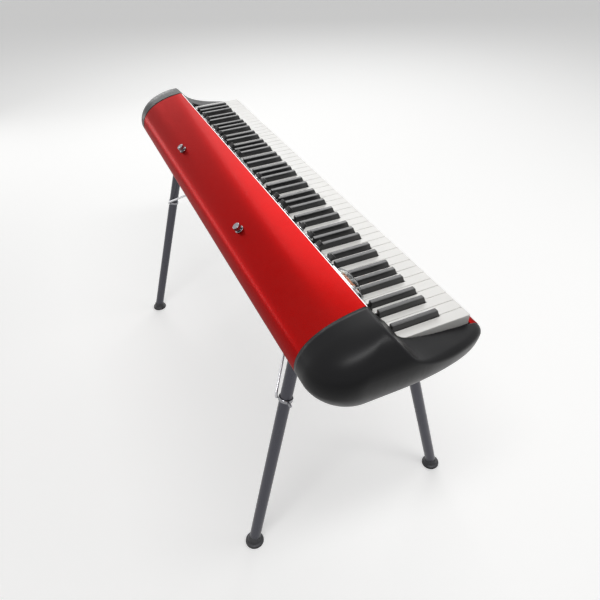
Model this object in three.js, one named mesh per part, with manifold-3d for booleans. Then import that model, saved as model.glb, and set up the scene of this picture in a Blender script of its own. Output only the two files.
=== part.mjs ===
// Stage piano: 88 keys, a sloping panel of knobs and a curved cover, standing on four splayed legs.
// Millimetres. +X is the treble end, -Y the player's side and +Z up. The origin is on the floor,
// midway between the four feet.

import * as THREE from 'three';
import { mergeVertices } from 'three/addons/utils/BufferGeometryUtils.js';
import Module from 'manifold-3d';

const wasm = await Module();
wasm.setup();

// Whole body
const bodyLength = 1356; // over both end caps
const bodyDepth = 347;
const bodyHeight = 149;
const bodyLift = 570; // floor to the underside
const bodyForward = 11.5; // the body's middle lies this far in front of the feet's middle
const wall = 3; // mouldings and sheet
const seatGap = 0.3; // between a piece and its seat
const cutOverrun = 5; // how far a cutting tool runs past what it cuts

// Keyboard
const whiteKeyCount = 52;
const keyGap = 0.8;
const keyLengthShare = 0.57637; // of the body's depth
const keyShowingShare = 0.75; // of a key, from its front edge back to the panel
const keyThickness = 20;
const keyDip = 10; // travel at the front edge
const crestAboveKeys = 62;
const blackSetback = 50; // behind the white keys' front edge
const blackBackGap = 3; // from a black key's cap to the end of the showing part
const blackWidth = 11.6;
const blackRise = 12;
const blackFrontRake = 4;
const blackSideGap = 1;
const blackTailDrop = 3; // the tail behind the cap lies below the white tops
const blackTopWidthShare = 0.83;
const pairLean = 2.35; // C and D sharps lean away from each other
const tripleLean = 3.36; // F and A sharps lean away from the G sharp
const pivotInset = 14; // hinge line ahead of the keys' back ends
const combDepth = 8; // bar that joins the white keys behind the hinge line
const combGap = 1.6; // black tails end this far ahead of it
const blackBarInset = 4; // bar that joins the black keys, ahead of the hinge line
const blackBarDepth = 8;
const blackBarLift = 1.2; // above the white tops
const blackBarHeight = 4;

// Key frame under the keys
const frameSetback = 8;
const frameBackReach = 15;
const frameTopDrop = 48; // below the white tops
const stopWidth = 16;
const stopClearance = 3; // below a fully pressed key
const contactBoardSetback = 45; // behind the keys' front edge
const contactBoardWidth = 70;
const contactStripWidth = 10;
const contactStripHeight = 5;
const ridgeRadius = 3;
const ridgeSteps = 4;

// Front rail
const railDepth = 22;
const railTopDrop = 21; // below the white tops
const railKeyGap = 3;
const railTopRound = 18;
const railFootSteps = 8;

// Sloping control panel
const panelRun = 36;
const panelRise = 48;
const panelFootLift = 12; // above the white tops
const panelFootGap = 3; // behind the showing part of the keys
const trimWidth = 4;
const trimProud = 1;
const trimThickness = 3;
const crestLead = 1.6; // cover's front edge behind the panel's top edge

// Curved cover, drawn as two bends that meet at the back line
const coverInset = 38; // its ends lie inside the keyboard's ends
const crownReach = 68;
const crownDrop = 6;
const shoulderDrop = 32;
const backLineDrop = 87;
const underSag = 15;
const underPull = 33;
const underReachShare = 0.225; // of the body's depth
const crownSteps = 12;
const underSteps = 8;

// Moulded end caps
const capReach = 67; // past the keyboard's end
const sideRound = 60; // top edge
const bulgeDrop = 61; // widest line below the crest
const sideTuck = 60; // how far the underside draws in
const frontTuck = 21;
const noseReach = 200; // front edge back to the cap's widest place
const cornerLead = 8; // back corner starts inside the keyboard's end
const cornerShare = 0.49; // of the way from the widest place to the back
const noseDrop = 35; // below the white tops
const cheekGap = 2; // beside the last key
const cornerSteps = 7;
const noseSteps = 9;

// Cheek line from the crest to the nose: shares of its run forwards and of its fall
const cheekSlopeShares = [0.13, 0.381];
const cheekHollowShares = [[0.186, 0.546], [0.288, 0.66], [0.521, 0.732]];
const cheekFlatShares = [0.87, 0.814];
const cheekNoseShares = [[0.949, 0.835], [0.991, 0.887], [1, 1]];
const cheekCurveSteps = 7;

// Knobs and buttons on the panel
const knobShares = [
  0.1735, 0.2152, 0.2463, 0.2766, 0.3372, 0.3642, 0.3928, 0.4574,
  0.4812, 0.599, 0.6408, 0.6899, 0.7169, 0.7471, 0.8126, 0.8388,
]; // along the keyboard
const knobRowShare = 0.5; // down the slope
const knobRadius = 6.6;
const knobTopRadius = 6;
const knobHeight = 13.8;
const knobSkirtRadius = 7.6;
const knobSkirtHeight = 2.4;
const knobEdgeRound = 0.9;
const knobFacets = 14;
const favouriteCount = 8;
const favouriteSize = 8.6;
const favouritePitchShare = 0.010475; // of the keyboard
const favouriteMiddleShare = 0.5415;
const buttonProud = 3;
const buttonRoot = 5; // below the panel's face
const buttonClearance = 0.4;
const buttonWebWidth = 6;
const buttonWebDepth = 2;

// Window with the vacuum tube
const windowMiddleShare = 0.112;
const bezelLength = 74;
const bezelWidth = 46;
const bezelRim = 6;
const bezelHeight = 3.5;
const glassRise = 14;
const glassThickness = 1.5;
const openingInset = 2.5; // panel opening inside the glass
const glassArcSteps = 12;
const tubeRadius = 10;
const tubeLength = 46;
const tubeDepth = 3; // its axis below the panel's face
const tubePipRadius = 2;
const tubePipLength = 2.4;
const tubeShoulderRadius = 8;
const tubeShoulderStart = 7; // from the tip
const tubeShoulderEnd = 10.5;
const tubeFacets = 16;
const socketLength = 5;
const socketRadius = 11;
const socketBarWidth = 5;
const socketBarDepth = 6;

// Thumb screws on the cover
const thumbSpreadShare = 0.35843; // of the keyboard
const thumbShare = 0.515; // along the crown's bend
const thumbHeadRadius = 8;
const thumbHeadHeight = 9;
const thumbNeckRadius = 4.5;
const thumbNeckHeight = 3;
const thumbWasherRadius = 9.5;
const thumbWasherHeight = 1.5;
const thumbFacets = 14;

// Jack recess and power opening in the back
const recessLength = 280;
const recessHeight = 32;
const recessMiddleShare = 0.27005; // along the keyboard
const recessTopDrop = 45; // below the white tops
const recessDepth = 44; // of the sockets' plate behind the back line
const tubWall = 2;
const recessBezelWidth = 4;
const recessBezelHeight = 1.8;
const socketEdge = 23; // first and last socket from the recess's ends
const phoneJackCount = 7;
const dinCount = 2;
const squareCount = 1;
const phoneBoreRadius = 3.3;
const phoneBarrelRadius = 5;
const phoneBarrelProud = 6;
const phoneNutRadius = 7;
const phoneNutHeight = 2.5;
const phoneBodySize = 14;
const phoneBodyLength = 22;
const dinRadius = 9;
const dinBarrelRadius = 7.6;
const dinProud = 3;
const dinBoreRadius = 6.4;
const dinBoreDepth = 8;
const usbWidth = 13;
const usbHeight = 12;
const usbBoreWidth = 9;
const usbBoreHeight = 8;
const socketFacets = 12;
const jackBoardMargin = 12;
const powerLength = 90;
const powerMiddleShare = 0.806056;
const inletWidth = 25;
const inletHeight = 17;
const inletDepth = 15;
const inletShift = -20; // from the middle of the power opening
const rockerShift = 21;
const rockerHalfLength = 10.6;
const rockerWidth = 13;
const rockerTilt = 7; // degrees each way
const rockerDip = 1.6; // hollow in the middle of its face
const rockerProud = 2.4;
const rockerTaper = 2;
const rockerRoot = 7;

// Main board
const boardLength = 260;
const boardHeight = 46;
const boardThickness = 1.6;
const boardMiddleShare = 0.5; // along the keyboard
const boardFootSize = 8;
const boardFootInset = 12;
const chipSize = 28;
const chipHeight = 3;
const boardSetback = 8; // behind the key frame

// Legs, feet and brackets
const legTopEndInset = 233.7; // from the body's ends
const legTopBackInset = 67.2; // from the body's back
const legTopFrontInset = 57.8; // from the body's front
const footSplay = 47.7; // a foot beyond its leg's top, along the body
const footSpreadShare = 1.4611; // of the body's depth
const legRadius = 13;
const legWall = 2;
const legFacets = 16;
const footRadius = 22;
const footHeight = 7;
const footEdge = 2;
const ballRadius = 15.5;
const ballHeight = 11;
const ballSteps = 6;
const footPinRadius = 9;
const footPinLength = 22;
const railWidth = 60;
const railFrontReach = 40; // past the front leg's top
const railBackReach = 20; // past the back leg's top
const railThickness = 5;
const sleeveWall = 4;
const sleeveLength = 46;

// Clamps and stay rods of the back legs
const clampDrop = 145; // below the body
const clampLength = 8;
const clampWall = 2.5;
const clampScrewRadius = 3;
const clampScrewLength = 10;
const rodRadius = 3;
const rodElbowRadius = 3.3;
const rodFacets = 8;
const rodHookRise = 8;
const rodAngle = 59; // degrees, where the rod hooks in, from straight inwards towards the back
const rodFootInset = 190.3; // from the leg's top towards the middle
const rodFootForward = 155; // ahead of the body's back
const rodFootLength = 40;
const rodFootWidth = 26;
const rodFootThickness = 3;

// Places worked out from the sizes
const bodyBottom = bodyLift;
const bodyTop = bodyBottom + bodyHeight;
const bodyBack = bodyDepth / 2 - bodyForward;
const bodyFront = bodyBack - bodyDepth;
const noteLetters = 'ABCDEFG';
const keyboardLength = bodyLength - 2 * capReach;
const keyboardHalf = keyboardLength / 2;
const keyPitch = keyboardLength / whiteKeyCount; // one white key
const keyLength = bodyDepth * keyLengthShare;
const keyShowing = keyLength * keyShowingShare;
const blackCapLength = keyShowing - blackSetback - blackBackGap;
const keyTop = bodyTop - crestAboveKeys;
const keyUnder = keyTop - keyThickness;
const keyFront = bodyFront + railDepth + railKeyGap;
const keyBack = keyFront + keyLength;
const pivotY = keyBack - pivotInset;
const panelFootY = keyFront + keyShowing + panelFootGap;
const panelFootZ = keyTop + panelFootLift;
const panelTopY = panelFootY + panelRun;
const panelTopZ = panelFootZ + panelRise;
const panelLength = Math.hypot(panelRun, panelRise);
const crestY = panelTopY + crestLead;
const coverHalf = keyboardHalf - coverInset - seatGap;
const railBackY = keyFront - railKeyGap;
const railHalf = keyboardHalf + cheekGap - seatGap;
const backLineZ = bodyTop - backLineDrop;
const underEdgeY = bodyBack - bodyDepth * underReachShare;
const trayTop = bodyBottom + wall;

const X = new THREE.Vector3(1, 0, 0);
const Y = new THREE.Vector3(0, 1, 0);
const Z = new THREE.Vector3(0, 0, 1);

// Finishes
const finishes = {
  red: [0xb0100c, 0.22, 0.45],
  satinBlack: [0x1c1c1e, 0.42, 0],
  darkGloss: [0x101012, 0.12, 0.2],
  chrome: [0xd4d6da, 0.12, 1],
  whiteKey: [0xf2f1ec, 0.3, 0],
  blackKey: [0x161617, 0.4, 0],
  knob: [0x121214, 0.38, 0],
  button: [0x8c8e92, 0.35, 0.6],
  glass: [0xe8ded0, 0.05, 0],
  tubeGlass: [0xd88a4a, 0.08, 0],
  ceramic: [0xd9d2c2, 0.5, 0],
  steel: [0x8b8f96, 0.4, 0.8],
  leg: [0x54565c, 0.32, 0.75],
  rubber: [0x151515, 0.8, 0],
  board: [0x1d4a2c, 0.6, 0],
  inside: [0x2a2a2c, 0.6, 0],
};

const piano = new THREE.Group();

function add(name, geometry, finish) {
  const [color, roughness, metalness] = finishes[finish];
  const mesh = new THREE.Mesh(geometry, new THREE.MeshStandardMaterial({ color, roughness, metalness }));
  mesh.name = name;
  piano.add(mesh);
  return mesh;
}

// Joining and cutting closed shapes
function solidOf(geometry) {
  const bare = new THREE.BufferGeometry();
  bare.setAttribute('position', geometry.getAttribute('position').clone());
  if (geometry.index) bare.setIndex(geometry.index.clone());
  const merged = mergeVertices(bare);
  return new wasm.Manifold(new wasm.Mesh({
    numProp: 3,
    vertProperties: new Float32Array(merged.getAttribute('position').array),
    triVerts: new Uint32Array(merged.index.array),
  }));
}

function geometryOf(solid) {
  const mesh = solid.getMesh();
  const geometry = new THREE.BufferGeometry();
  geometry.setAttribute('position', new THREE.BufferAttribute(new Float32Array(mesh.vertProperties), 3));
  geometry.setIndex(new THREE.BufferAttribute(new Uint32Array(mesh.triVerts), 1));
  geometry.computeVertexNormals();
  return geometry;
}

function cut(geometry, ...tools) {
  return geometryOf(tools.reduce((left, tool) => left.subtract(solidOf(tool)), solidOf(geometry)));
}

function join(geometry, ...others) {
  return geometryOf(others.reduce((whole, other) => whole.add(solidOf(other)), solidOf(geometry)));
}

function common(geometry, other) {
  return geometryOf(solidOf(geometry).intersect(solidOf(other)));
}

// Basic shapes
function box(lowX, highX, lowY, highY, lowZ, highZ) {
  const geometry = new THREE.BoxGeometry(highX - lowX, highY - lowY, highZ - lowZ);
  return geometry.translate((lowX + highX) / 2, (lowY + highY) / 2, (lowZ + highZ) / 2);
}

function points(pairs) {
  return pairs.map(([first, second]) => new THREE.Vector2(first, second));
}

// An outline in Y and Z carried along X
function alongX(outline, lowX, highX) {
  const shape = new THREE.Shape(outline);
  const geometry = new THREE.ExtrudeGeometry(shape, { depth: highX - lowX, bevelEnabled: false });
  return geometry.applyMatrix4(new THREE.Matrix4().makeBasis(Y, Z, X)).translate(lowX, 0, 0);
}

// An outline in X and Y carried up Z
function alongZ(outline, lowZ, highZ) {
  const shape = new THREE.Shape(outline);
  const geometry = new THREE.ExtrudeGeometry(shape, { depth: highZ - lowZ, bevelEnabled: false });
  return geometry.translate(0, 0, lowZ);
}

// A round bar from one place to another
function bar(radius, from, to, facets) {
  const length = from.distanceTo(to);
  const turn = new THREE.Quaternion().setFromUnitVectors(Y, to.clone().sub(from).normalize());
  const middle = from.clone().add(to).multiplyScalar(1 / 2);
  return new THREE.CylinderGeometry(radius, radius, length, facets).applyQuaternion(turn)
    .translate(middle.x, middle.y, middle.z);
}

function lathe(profile, facets) {
  return new THREE.LatheGeometry(points(profile), facets);
}

// The same shape at the other end of the keyboard
function mirrored(geometry) {
  const copy = geometry.clone().scale(-1, 1, 1);
  const order = copy.index.array;
  for (let i = 0; i < order.length; i += 3) {
    [order[i + 1], order[i + 2]] = [order[i + 2], order[i + 1]];
  }
  copy.computeVertexNormals();
  return copy;
}

// Panel coordinates: along X, out of the panel's face, and down its slope
const slopeDown = new THREE.Vector3(0, -panelRun / panelLength, -panelRise / panelLength);
const slopeOut = new THREE.Vector3(0, -panelRise / panelLength, panelRun / panelLength);

function onPanel(geometry) {
  const place = new THREE.Matrix4().makeBasis(X, slopeOut, slopeDown);
  return geometry.applyMatrix4(place.setPosition(0, panelTopY, panelTopZ));
}

const alongKeyboard = (share) => (share - 1 / 2) * keyboardLength;
const recessMiddle = alongKeyboard(recessMiddleShare);
const powerMiddle = alongKeyboard(powerMiddleShare);

// The cover's section: its outer line, or a line the given distance inside it
const crownCurve = new THREE.CubicBezierCurve(
  ...points([
    [crestY, bodyTop],
    [crestY + crownReach, bodyTop - crownDrop],
    [bodyBack, bodyTop - shoulderDrop],
    [bodyBack, backLineZ],
  ]),
);
const underCurve = new THREE.CubicBezierCurve(
  ...points([
    [bodyBack, backLineZ],
    [bodyBack, backLineZ - underSag],
    [bodyBack - underPull, bodyBottom],
    [underEdgeY, bodyBottom],
  ]),
);

function insideOf(curve, t, depth) {
  const place = curve.getPoint(t);
  const along = curve.getTangent(t);
  return new THREE.Vector2(place.x + along.y * depth, place.y - along.x * depth);
}

function coverLine(depth) {
  const line = [];
  for (let i = 0; i <= crownSteps; i += 1) line.push(insideOf(crownCurve, i / crownSteps, depth));
  for (let i = 1; i <= underSteps; i += 1) line.push(insideOf(underCurve, i / underSteps, depth));
  return line;
}

const coverOuter = coverLine(0);

// Box that runs through the cover's back wall
function backOpening(middle, length, shrink) {
  const top = keyTop - recessTopDrop;
  return box(
    middle - length / 2 + shrink, middle + length / 2 - shrink,
    underEdgeY, bodyBack + recessDepth, top - recessHeight + shrink, top - shrink,
  );
}

function makeCover() {
  const section = [...coverOuter, ...coverLine(wall).reverse()];
  add('top_cover', cut(
    alongX(section, -coverHalf, coverHalf),
    backOpening(recessMiddle, recessLength, 0),
    backOpening(powerMiddle, powerLength, 0),
  ), 'red');
}

function makeTray() {
  const frontY = railBackY + seatGap;
  const stepY = panelFootY - seatGap;
  const backY = underEdgeY - seatGap;
  const outline = points([
    [-railHalf, frontY], [railHalf, frontY], [railHalf, stepY], [coverHalf, stepY],
    [coverHalf, backY], [-coverHalf, backY], [-coverHalf, stepY], [-railHalf, stepY],
  ]);
  add('bottom_case', alongZ(outline, bodyBottom, trayTop), 'satinBlack');
}

function makeFrontRail() {
  const top = keyTop - railTopDrop;
  const line = (depth) => {
    const path = new THREE.Path();
    const frontAt = (z) => bodyFront + frontTuck * belowBulge(z) + depth;
    const high = top - railTopRound;
    const low = bodyBottom + depth;
    path.moveTo(railBackY, top - depth);
    path.lineTo(frontAt(high) + railTopRound - depth, top - depth);
    path.quadraticCurveTo(frontAt(high), top - depth, frontAt(high), high);
    for (let i = 1; i <= railFootSteps; i += 1) {
      const z = low + (high - low) * Math.cos((i / railFootSteps) * Math.PI / 2);
      path.lineTo(frontAt(z), z);
    }
    path.lineTo(railBackY, low);
    return path.getPoints(cheekCurveSteps);
  };
  add('front_rail', alongX([...line(0), ...line(wall).reverse()], -railHalf, railHalf), 'red');
}

// How far the cap reaches past the keyboard's end at a height, and how far it is drawn in below
function belowBulge(z) {
  const bulgeLine = bodyTop - bulgeDrop;
  const share = Math.max(0, bulgeLine - z) / (bulgeLine - bodyBottom);
  return 1 - Math.sqrt(1 - Math.min(1, share) ** 2);
}

function capReachAt(z) {
  const above = Math.max(0, z - (bodyTop - sideRound));
  const round = sideRound - Math.sqrt(sideRound ** 2 - above ** 2);
  return capReach - round - sideTuck * belowBulge(z);
}

// One level of the cap's full outline, seen from above, clockwise
function capRing(outer, inner, depth, innerEdge) {
  const waist = bodyFront + noseReach;
  const back = inner.x;
  const front = bodyFront + frontTuck * belowBulge(outer.y) + depth;
  const reach = capReachAt(outer.y) - depth;
  const cornerY = waist + (back - waist) * cornerShare;
  const ring = [[-innerEdge, back]];
  for (let i = 0; i <= cornerSteps; i += 1) {
    const angle = (i / cornerSteps) * Math.PI / 2;
    ring.push([
      (reach + cornerLead) * Math.sin(angle) - cornerLead,
      cornerY + (back - cornerY) * Math.cos(angle),
    ]);
  }
  for (let i = 0; i <= noseSteps; i += 1) {
    const angle = (i / noseSteps) * Math.PI / 2;
    ring.push([reach * Math.cos(angle), waist - (waist - front) * Math.sin(angle)]);
  }
  ring.push([-innerEdge, front]);
  return ring.map(([e, y]) => new THREE.Vector3(keyboardHalf + e, y, inner.y));
}

// A closed shape through convex rings, given from the top down
function loft(rings) {
  const count = rings[0].length;
  const positions = rings.flat().flatMap((place) => [place.x, place.y, place.z]);
  const order = [];
  for (let r = 0; r + 1 < rings.length; r += 1) {
    for (let i = 0; i < count; i += 1) {
      const a = r * count + i;
      const b = r * count + ((i + 1) % count);
      order.push(a, b, b + count, a, b + count, a + count);
    }
  }
  const last = (rings.length - 1) * count;
  for (let i = 1; i + 1 < count; i += 1) {
    order.push(0, i + 1, i);
    order.push(last, last + i, last + i + 1);
  }
  const geometry = new THREE.BufferGeometry();
  geometry.setAttribute('position', new THREE.Float32BufferAttribute(positions, 3));
  geometry.setIndex(order);
  return geometry;
}

function capForm(depth, innerEdge) {
  const line = coverLine(depth);
  return loft(line.map((inner, i) => capRing(coverOuter[i], inner, depth, innerEdge)));
}

// The open air above the cheek's line
function cheekAir() {
  const run = crestY - bodyFront;
  const fall = crestAboveKeys + noseDrop;
  const place = ([runShare, fallShare]) => [crestY - run * runShare, bodyTop - fall * fallShare];
  const path = new THREE.Path();
  path.moveTo(crestY, bodyTop);
  path.lineTo(...place(cheekSlopeShares));
  path.bezierCurveTo(...cheekHollowShares.flatMap(place));
  path.lineTo(...place(cheekFlatShares));
  path.bezierCurveTo(...cheekNoseShares.flatMap(place));
  path.lineTo(bodyFront - cutOverrun, bodyTop - fall);
  path.lineTo(bodyFront - cutOverrun, bodyTop + cutOverrun);
  path.lineTo(crestY, bodyTop + cutOverrun);
  const outline = path.getPoints(cheekCurveSteps);
  return alongX(outline, keyboardHalf - coverInset - cutOverrun, keyboardHalf + capReach + cutOverrun);
}

function makeEndCaps() {
  const lowX = keyboardHalf - coverInset - cutOverrun;
  const beforePanel = (highX) => box(
    lowX, highX, bodyFront - cutOverrun, panelFootY, bodyBottom - cutOverrun, bodyTop + cutOverrun,
  );
  const hollow = cut(
    capForm(wall, coverInset + cutOverrun),
    cheekAir().translate(0, wall, -wall),
    beforePanel(keyboardHalf + cheekGap + wall),
  );
  const right = cut(
    capForm(0, coverInset), cheekAir(), beforePanel(keyboardHalf + cheekGap), hollow,
  );
  add('left_end_cap', mirrored(right), 'satinBlack');
  add('right_end_cap', right, 'satinBlack');
}

// Keys: white key i starts at i pitches from the bass end; a black key may follow it
const blackLean = { C: -pairLean, D: pairLean, F: -tripleLean, G: 0, A: tripleLean };
const combCount = 4; // the odd keys at both ends go with the end combs
const octavesPerComb = 2;
const lowKeyCount = 2; // below the first C
const octaveKeys = noteLetters.length;

function blackAfter(i) {
  const letter = noteLetters[i % octaveKeys];
  const present = i + 1 < whiteKeyCount && letter in blackLean;
  return present ? (i + 1) * keyPitch + blackLean[letter] - keyboardHalf : null;
}

function combOf(i) {
  const octave = 1 + Math.floor((i - lowKeyCount) / octaveKeys);
  return Math.min(combCount, Math.max(1, Math.ceil(octave / octavesPerComb)));
}

// The outline of one white key from its left slot to its right slot
function whiteKeyLine(i) {
  const low = i * keyPitch + keyGap / 2 - keyboardHalf;
  const high = low + keyPitch - keyGap;
  const reach = blackWidth / 2 + blackSideGap;
  const notchY = keyFront + blackSetback - blackSideGap;
  const combY = keyBack - combDepth;
  const before = blackAfter(i - 1);
  const after = blackAfter(i);
  const left = before === null ? [[low, combY]]
    : [[before + reach, combY], [before + reach, notchY], [low, notchY]];
  const right = after === null ? [[high, combY]]
    : [[high, notchY], [after - reach, notchY], [after - reach, combY]];
  return [...left, [low, keyFront], [high, keyFront], ...right];
}

function blackKey(middle) {
  const frontY = keyFront + blackSetback;
  const capBack = frontY + blackCapLength;
  const tailTop = keyTop - blackTailDrop;
  const tailBack = keyBack - combDepth - combGap;
  const barBack = pivotY - blackBarInset;
  const riser = keyTop + blackBarLift + blackBarHeight / 2;
  const outline = points([
    [frontY, keyUnder], [frontY, keyTop], [frontY + blackFrontRake, keyTop + blackRise],
    [capBack, keyTop + blackRise], [capBack, tailTop], [barBack - blackBarDepth, tailTop],
    [barBack - blackBarDepth, riser], [barBack, riser], [barBack, tailTop],
    [tailBack, tailTop], [tailBack, keyUnder],
  ]);
  const key = alongX(outline, -blackWidth / 2, blackWidth / 2);
  const place = key.getAttribute('position');
  for (let i = 0; i < place.count; i += 1) {
    if (place.getZ(i) > keyTop + blackRise / 2) place.setX(i, place.getX(i) * blackTopWidthShare);
  }
  return key.translate(middle, 0, 0);
}

function makeKeys() {
  const barBack = pivotY - blackBarInset;
  const barFoot = keyTop + blackBarLift;
  for (let comb = 1; comb <= combCount; comb += 1) {
    const whiteLine = [];
    const middles = [];
    for (let i = 0; i < whiteKeyCount; i += 1) {
      if (combOf(i) === comb) {
        whiteLine.push(...whiteKeyLine(i));
        if (blackAfter(i) !== null) middles.push(blackAfter(i));
      }
    }
    whiteLine.push([whiteLine[whiteLine.length - 1][0], keyBack], [whiteLine[0][0], keyBack]);
    add(`white_keys_${comb}`, alongZ(points(whiteLine), keyUnder, keyTop), 'whiteKey');
    const joiner = box(
      middles[0] - blackWidth / 2, middles[middles.length - 1] + blackWidth / 2,
      barBack - blackBarDepth, barBack, barFoot, barFoot + blackBarHeight,
    );
    add(`black_keys_${comb}`, join(joiner, ...middles.map(blackKey)), 'blackKey');
  }
}

// Folded key frame: front stop, flat top, and the ridge that the keys tip on
function makeKeyFrame() {
  const frontY = keyFront + frameSetback;
  const backY = keyBack + frameBackReach;
  const foot = trayTop + seatGap;
  const top = keyTop - frameTopDrop;
  const stopTop = keyUnder - keyDip - stopClearance;
  const ridgeZ = keyUnder - seatGap - ridgeRadius;
  const path = new THREE.Path();
  path.moveTo(frontY, foot);
  path.lineTo(frontY, stopTop);
  path.lineTo(frontY + stopWidth, stopTop);
  path.lineTo(frontY + stopWidth, top);
  path.lineTo(pivotY - ridgeRadius, top);
  path.lineTo(pivotY - ridgeRadius, ridgeZ);
  path.absarc(pivotY, ridgeZ, ridgeRadius, Math.PI, 0, true);
  path.lineTo(pivotY + ridgeRadius, top);
  path.lineTo(backY, top);
  path.lineTo(backY, foot);
  path.lineTo(backY - wall, foot);
  path.lineTo(backY - wall, top - wall);
  path.lineTo(frontY + wall, top - wall);
  path.lineTo(frontY + wall, foot);
  const half = keyboardHalf - seatGap;
  add('key_frame', alongX(path.getPoints(ridgeSteps), -half, half), 'inside');
  const boardY = keyFront + contactBoardSetback;
  const boardTop = top + seatGap + boardThickness;
  const stripY = boardY + (contactBoardWidth - contactStripWidth) / 2;
  add('contact_board', join(
    box(-half, half, boardY, boardY + contactBoardWidth, top + seatGap, boardTop),
    box(-half, half, stripY, stripY + contactStripWidth, top + seatGap, boardTop + contactStripHeight),
  ), 'board');
}

// Window, knob and button places on the panel
const windowX = alongKeyboard(windowMiddleShare);
const rowS = panelLength * knobRowShare;
const glassLength = bezelLength - 2 * bezelRim - 2 * seatGap;
const glassWidth = bezelWidth - 2 * bezelRim - 2 * seatGap;
const openingLength = glassLength - 2 * openingInset;
const openingWidth = glassWidth - 2 * openingInset;

const favouritePitch = keyboardLength * favouritePitchShare;
const favouritePlaces = Array.from(
  { length: favouriteCount },
  (_, i) => alongKeyboard(favouriteMiddleShare) + (i - (favouriteCount - 1) / 2) * favouritePitch,
);

// A block centred on the knob row at the given place along X
function rowBlock(x, length, width, low, high) {
  return box(x - length / 2, x + length / 2, low, high, rowS - width / 2, rowS + width / 2);
}

function makePanel() {
  const plateEdge = trimWidth + 2 * seatGap;
  const hole = (x, length, width) => rowBlock(x, length, width, -wall - cutOverrun, cutOverrun);
  const holeSize = favouriteSize + 2 * buttonClearance;
  const plate = cut(
    box(-coverHalf, coverHalf, -wall, 0, plateEdge, panelLength),
    hole(windowX, openingLength, openingWidth),
    ...favouritePlaces.map((x) => hole(x, holeSize, holeSize)),
  );
  add('control_panel', onPanel(plate), 'darkGloss');
  const strip = box(-coverHalf, coverHalf, -trimThickness, trimProud, seatGap, seatGap + trimWidth);
  add('trim_strip', onPanel(strip), 'chrome');
}

function makeKnobs() {
  const profile = [
    [0, 0], [knobSkirtRadius, 0], [knobSkirtRadius, knobSkirtHeight], [knobRadius, knobSkirtHeight],
    [knobTopRadius, knobHeight - knobEdgeRound], [knobTopRadius - knobEdgeRound, knobHeight],
    [0, knobHeight],
  ];
  knobShares.forEach((share, i) => {
    const knob = lathe(profile, knobFacets).translate(alongKeyboard(share), seatGap, rowS);
    add(`knob_${String(i + 1).padStart(2, '0')}`, onPanel(knob), 'knob');
  });
}

// Square buttons on one web behind the panel
function makeButtons() {
  const caps = favouritePlaces.map(
    (x) => rowBlock(x, favouriteSize, favouriteSize, -buttonRoot, buttonProud),
  );
  const webLength = (favouriteCount - 1) * favouritePitch + favouriteSize;
  const web = rowBlock(
    alongKeyboard(favouriteMiddleShare), webLength, buttonWebWidth,
    -buttonRoot - buttonWebDepth, -buttonRoot + buttonWebDepth / 2,
  );
  add('favourite_buttons', onPanel(join(web, ...caps)), 'button');
}

// A bow from one edge of the glass to the other, seen along X
function glassBow(depth) {
  const half = glassWidth / 2 - depth;
  const rise = glassRise - depth;
  const radius = (half ** 2 + rise ** 2) / (2 * rise);
  const sweep = Math.atan2(half, radius - rise);
  const bow = [];
  for (let i = 0; i <= glassArcSteps; i += 1) {
    const angle = sweep - (2 * sweep * i) / glassArcSteps;
    bow.push([radius * Math.cos(angle) - (radius - rise), radius * Math.sin(angle)]);
  }
  return bow;
}

function makeWindow() {
  const bezel = cut(
    rowBlock(windowX, bezelLength, bezelWidth, seatGap, bezelHeight),
    rowBlock(
      windowX, bezelLength - 2 * bezelRim, bezelWidth - 2 * bezelRim, -cutOverrun, bezelHeight + cutOverrun,
    ),
  );
  add('window_bezel', onPanel(bezel), 'chrome');
  const dome = (depth, below) => {
    const bow = glassBow(depth);
    const outline = below ? [[-below, -bow[0][1]], [-below, bow[0][1]], ...bow] : bow;
    const half = glassLength / 2 - depth;
    return alongX(points(outline), windowX - half, windowX + half);
  };
  const shell = cut(dome(0, 0), dome(glassThickness, cutOverrun));
  add('window_glass', onPanel(shell.translate(0, seatGap, rowS)), 'glass');
}

function makeTube() {
  const lowX = windowX - openingLength / 2 + seatGap;
  const profile = [
    [0, 0], [tubePipRadius, 0], [tubePipRadius, tubePipLength], [tubeShoulderRadius, tubeShoulderStart],
    [tubeRadius, tubeShoulderEnd], [tubeRadius, tubeLength], [0, tubeLength],
  ];
  const lieDown = new THREE.Matrix4().makeBasis(Y, X, Z.clone().negate());
  const tube = lathe(profile, tubeFacets).applyMatrix4(lieDown).translate(lowX, -tubeDepth, rowS);
  add('vacuum_tube', onPanel(tube), 'tubeGlass');
  const discX = lowX + tubeLength + seatGap;
  const disc = new THREE.CylinderGeometry(socketRadius, socketRadius, socketLength, tubeFacets)
    .applyMatrix4(lieDown).translate(discX + socketLength / 2, -tubeDepth, rowS);
  const barTop = -wall - seatGap;
  const bridge = box(
    discX, discX + socketBarWidth, barTop - socketBarDepth, barTop,
    rowS - bezelWidth / 2, rowS + bezelWidth / 2,
  );
  add('tube_socket', onPanel(join(disc, bridge)), 'ceramic');
}

function makeThumbScrews() {
  const place = crownCurve.getPoint(thumbShare);
  const along = crownCurve.getTangent(thumbShare);
  const out = new THREE.Vector3(0, -along.y, along.x);
  const neckTop = thumbWasherHeight + thumbNeckHeight;
  const profile = [
    [0, 0], [thumbWasherRadius, 0], [thumbWasherRadius, thumbWasherHeight],
    [thumbNeckRadius, thumbWasherHeight], [thumbNeckRadius, neckTop], [thumbHeadRadius, neckTop],
    [thumbHeadRadius, neckTop + thumbHeadHeight], [0, neckTop + thumbHeadHeight],
  ];
  [['left', -1], ['right', 1]].forEach(([name, side]) => {
    const screw = lathe(profile, thumbFacets).translate(0, seatGap, 0)
      .applyMatrix4(new THREE.Matrix4().makeBasis(X, out, X.clone().cross(out)))
      .translate(side * keyboardHalf * thumbSpreadShare, place.x, place.y);
    add(`thumb_screw_${name}`, screw, 'chrome');
  });
}

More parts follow.
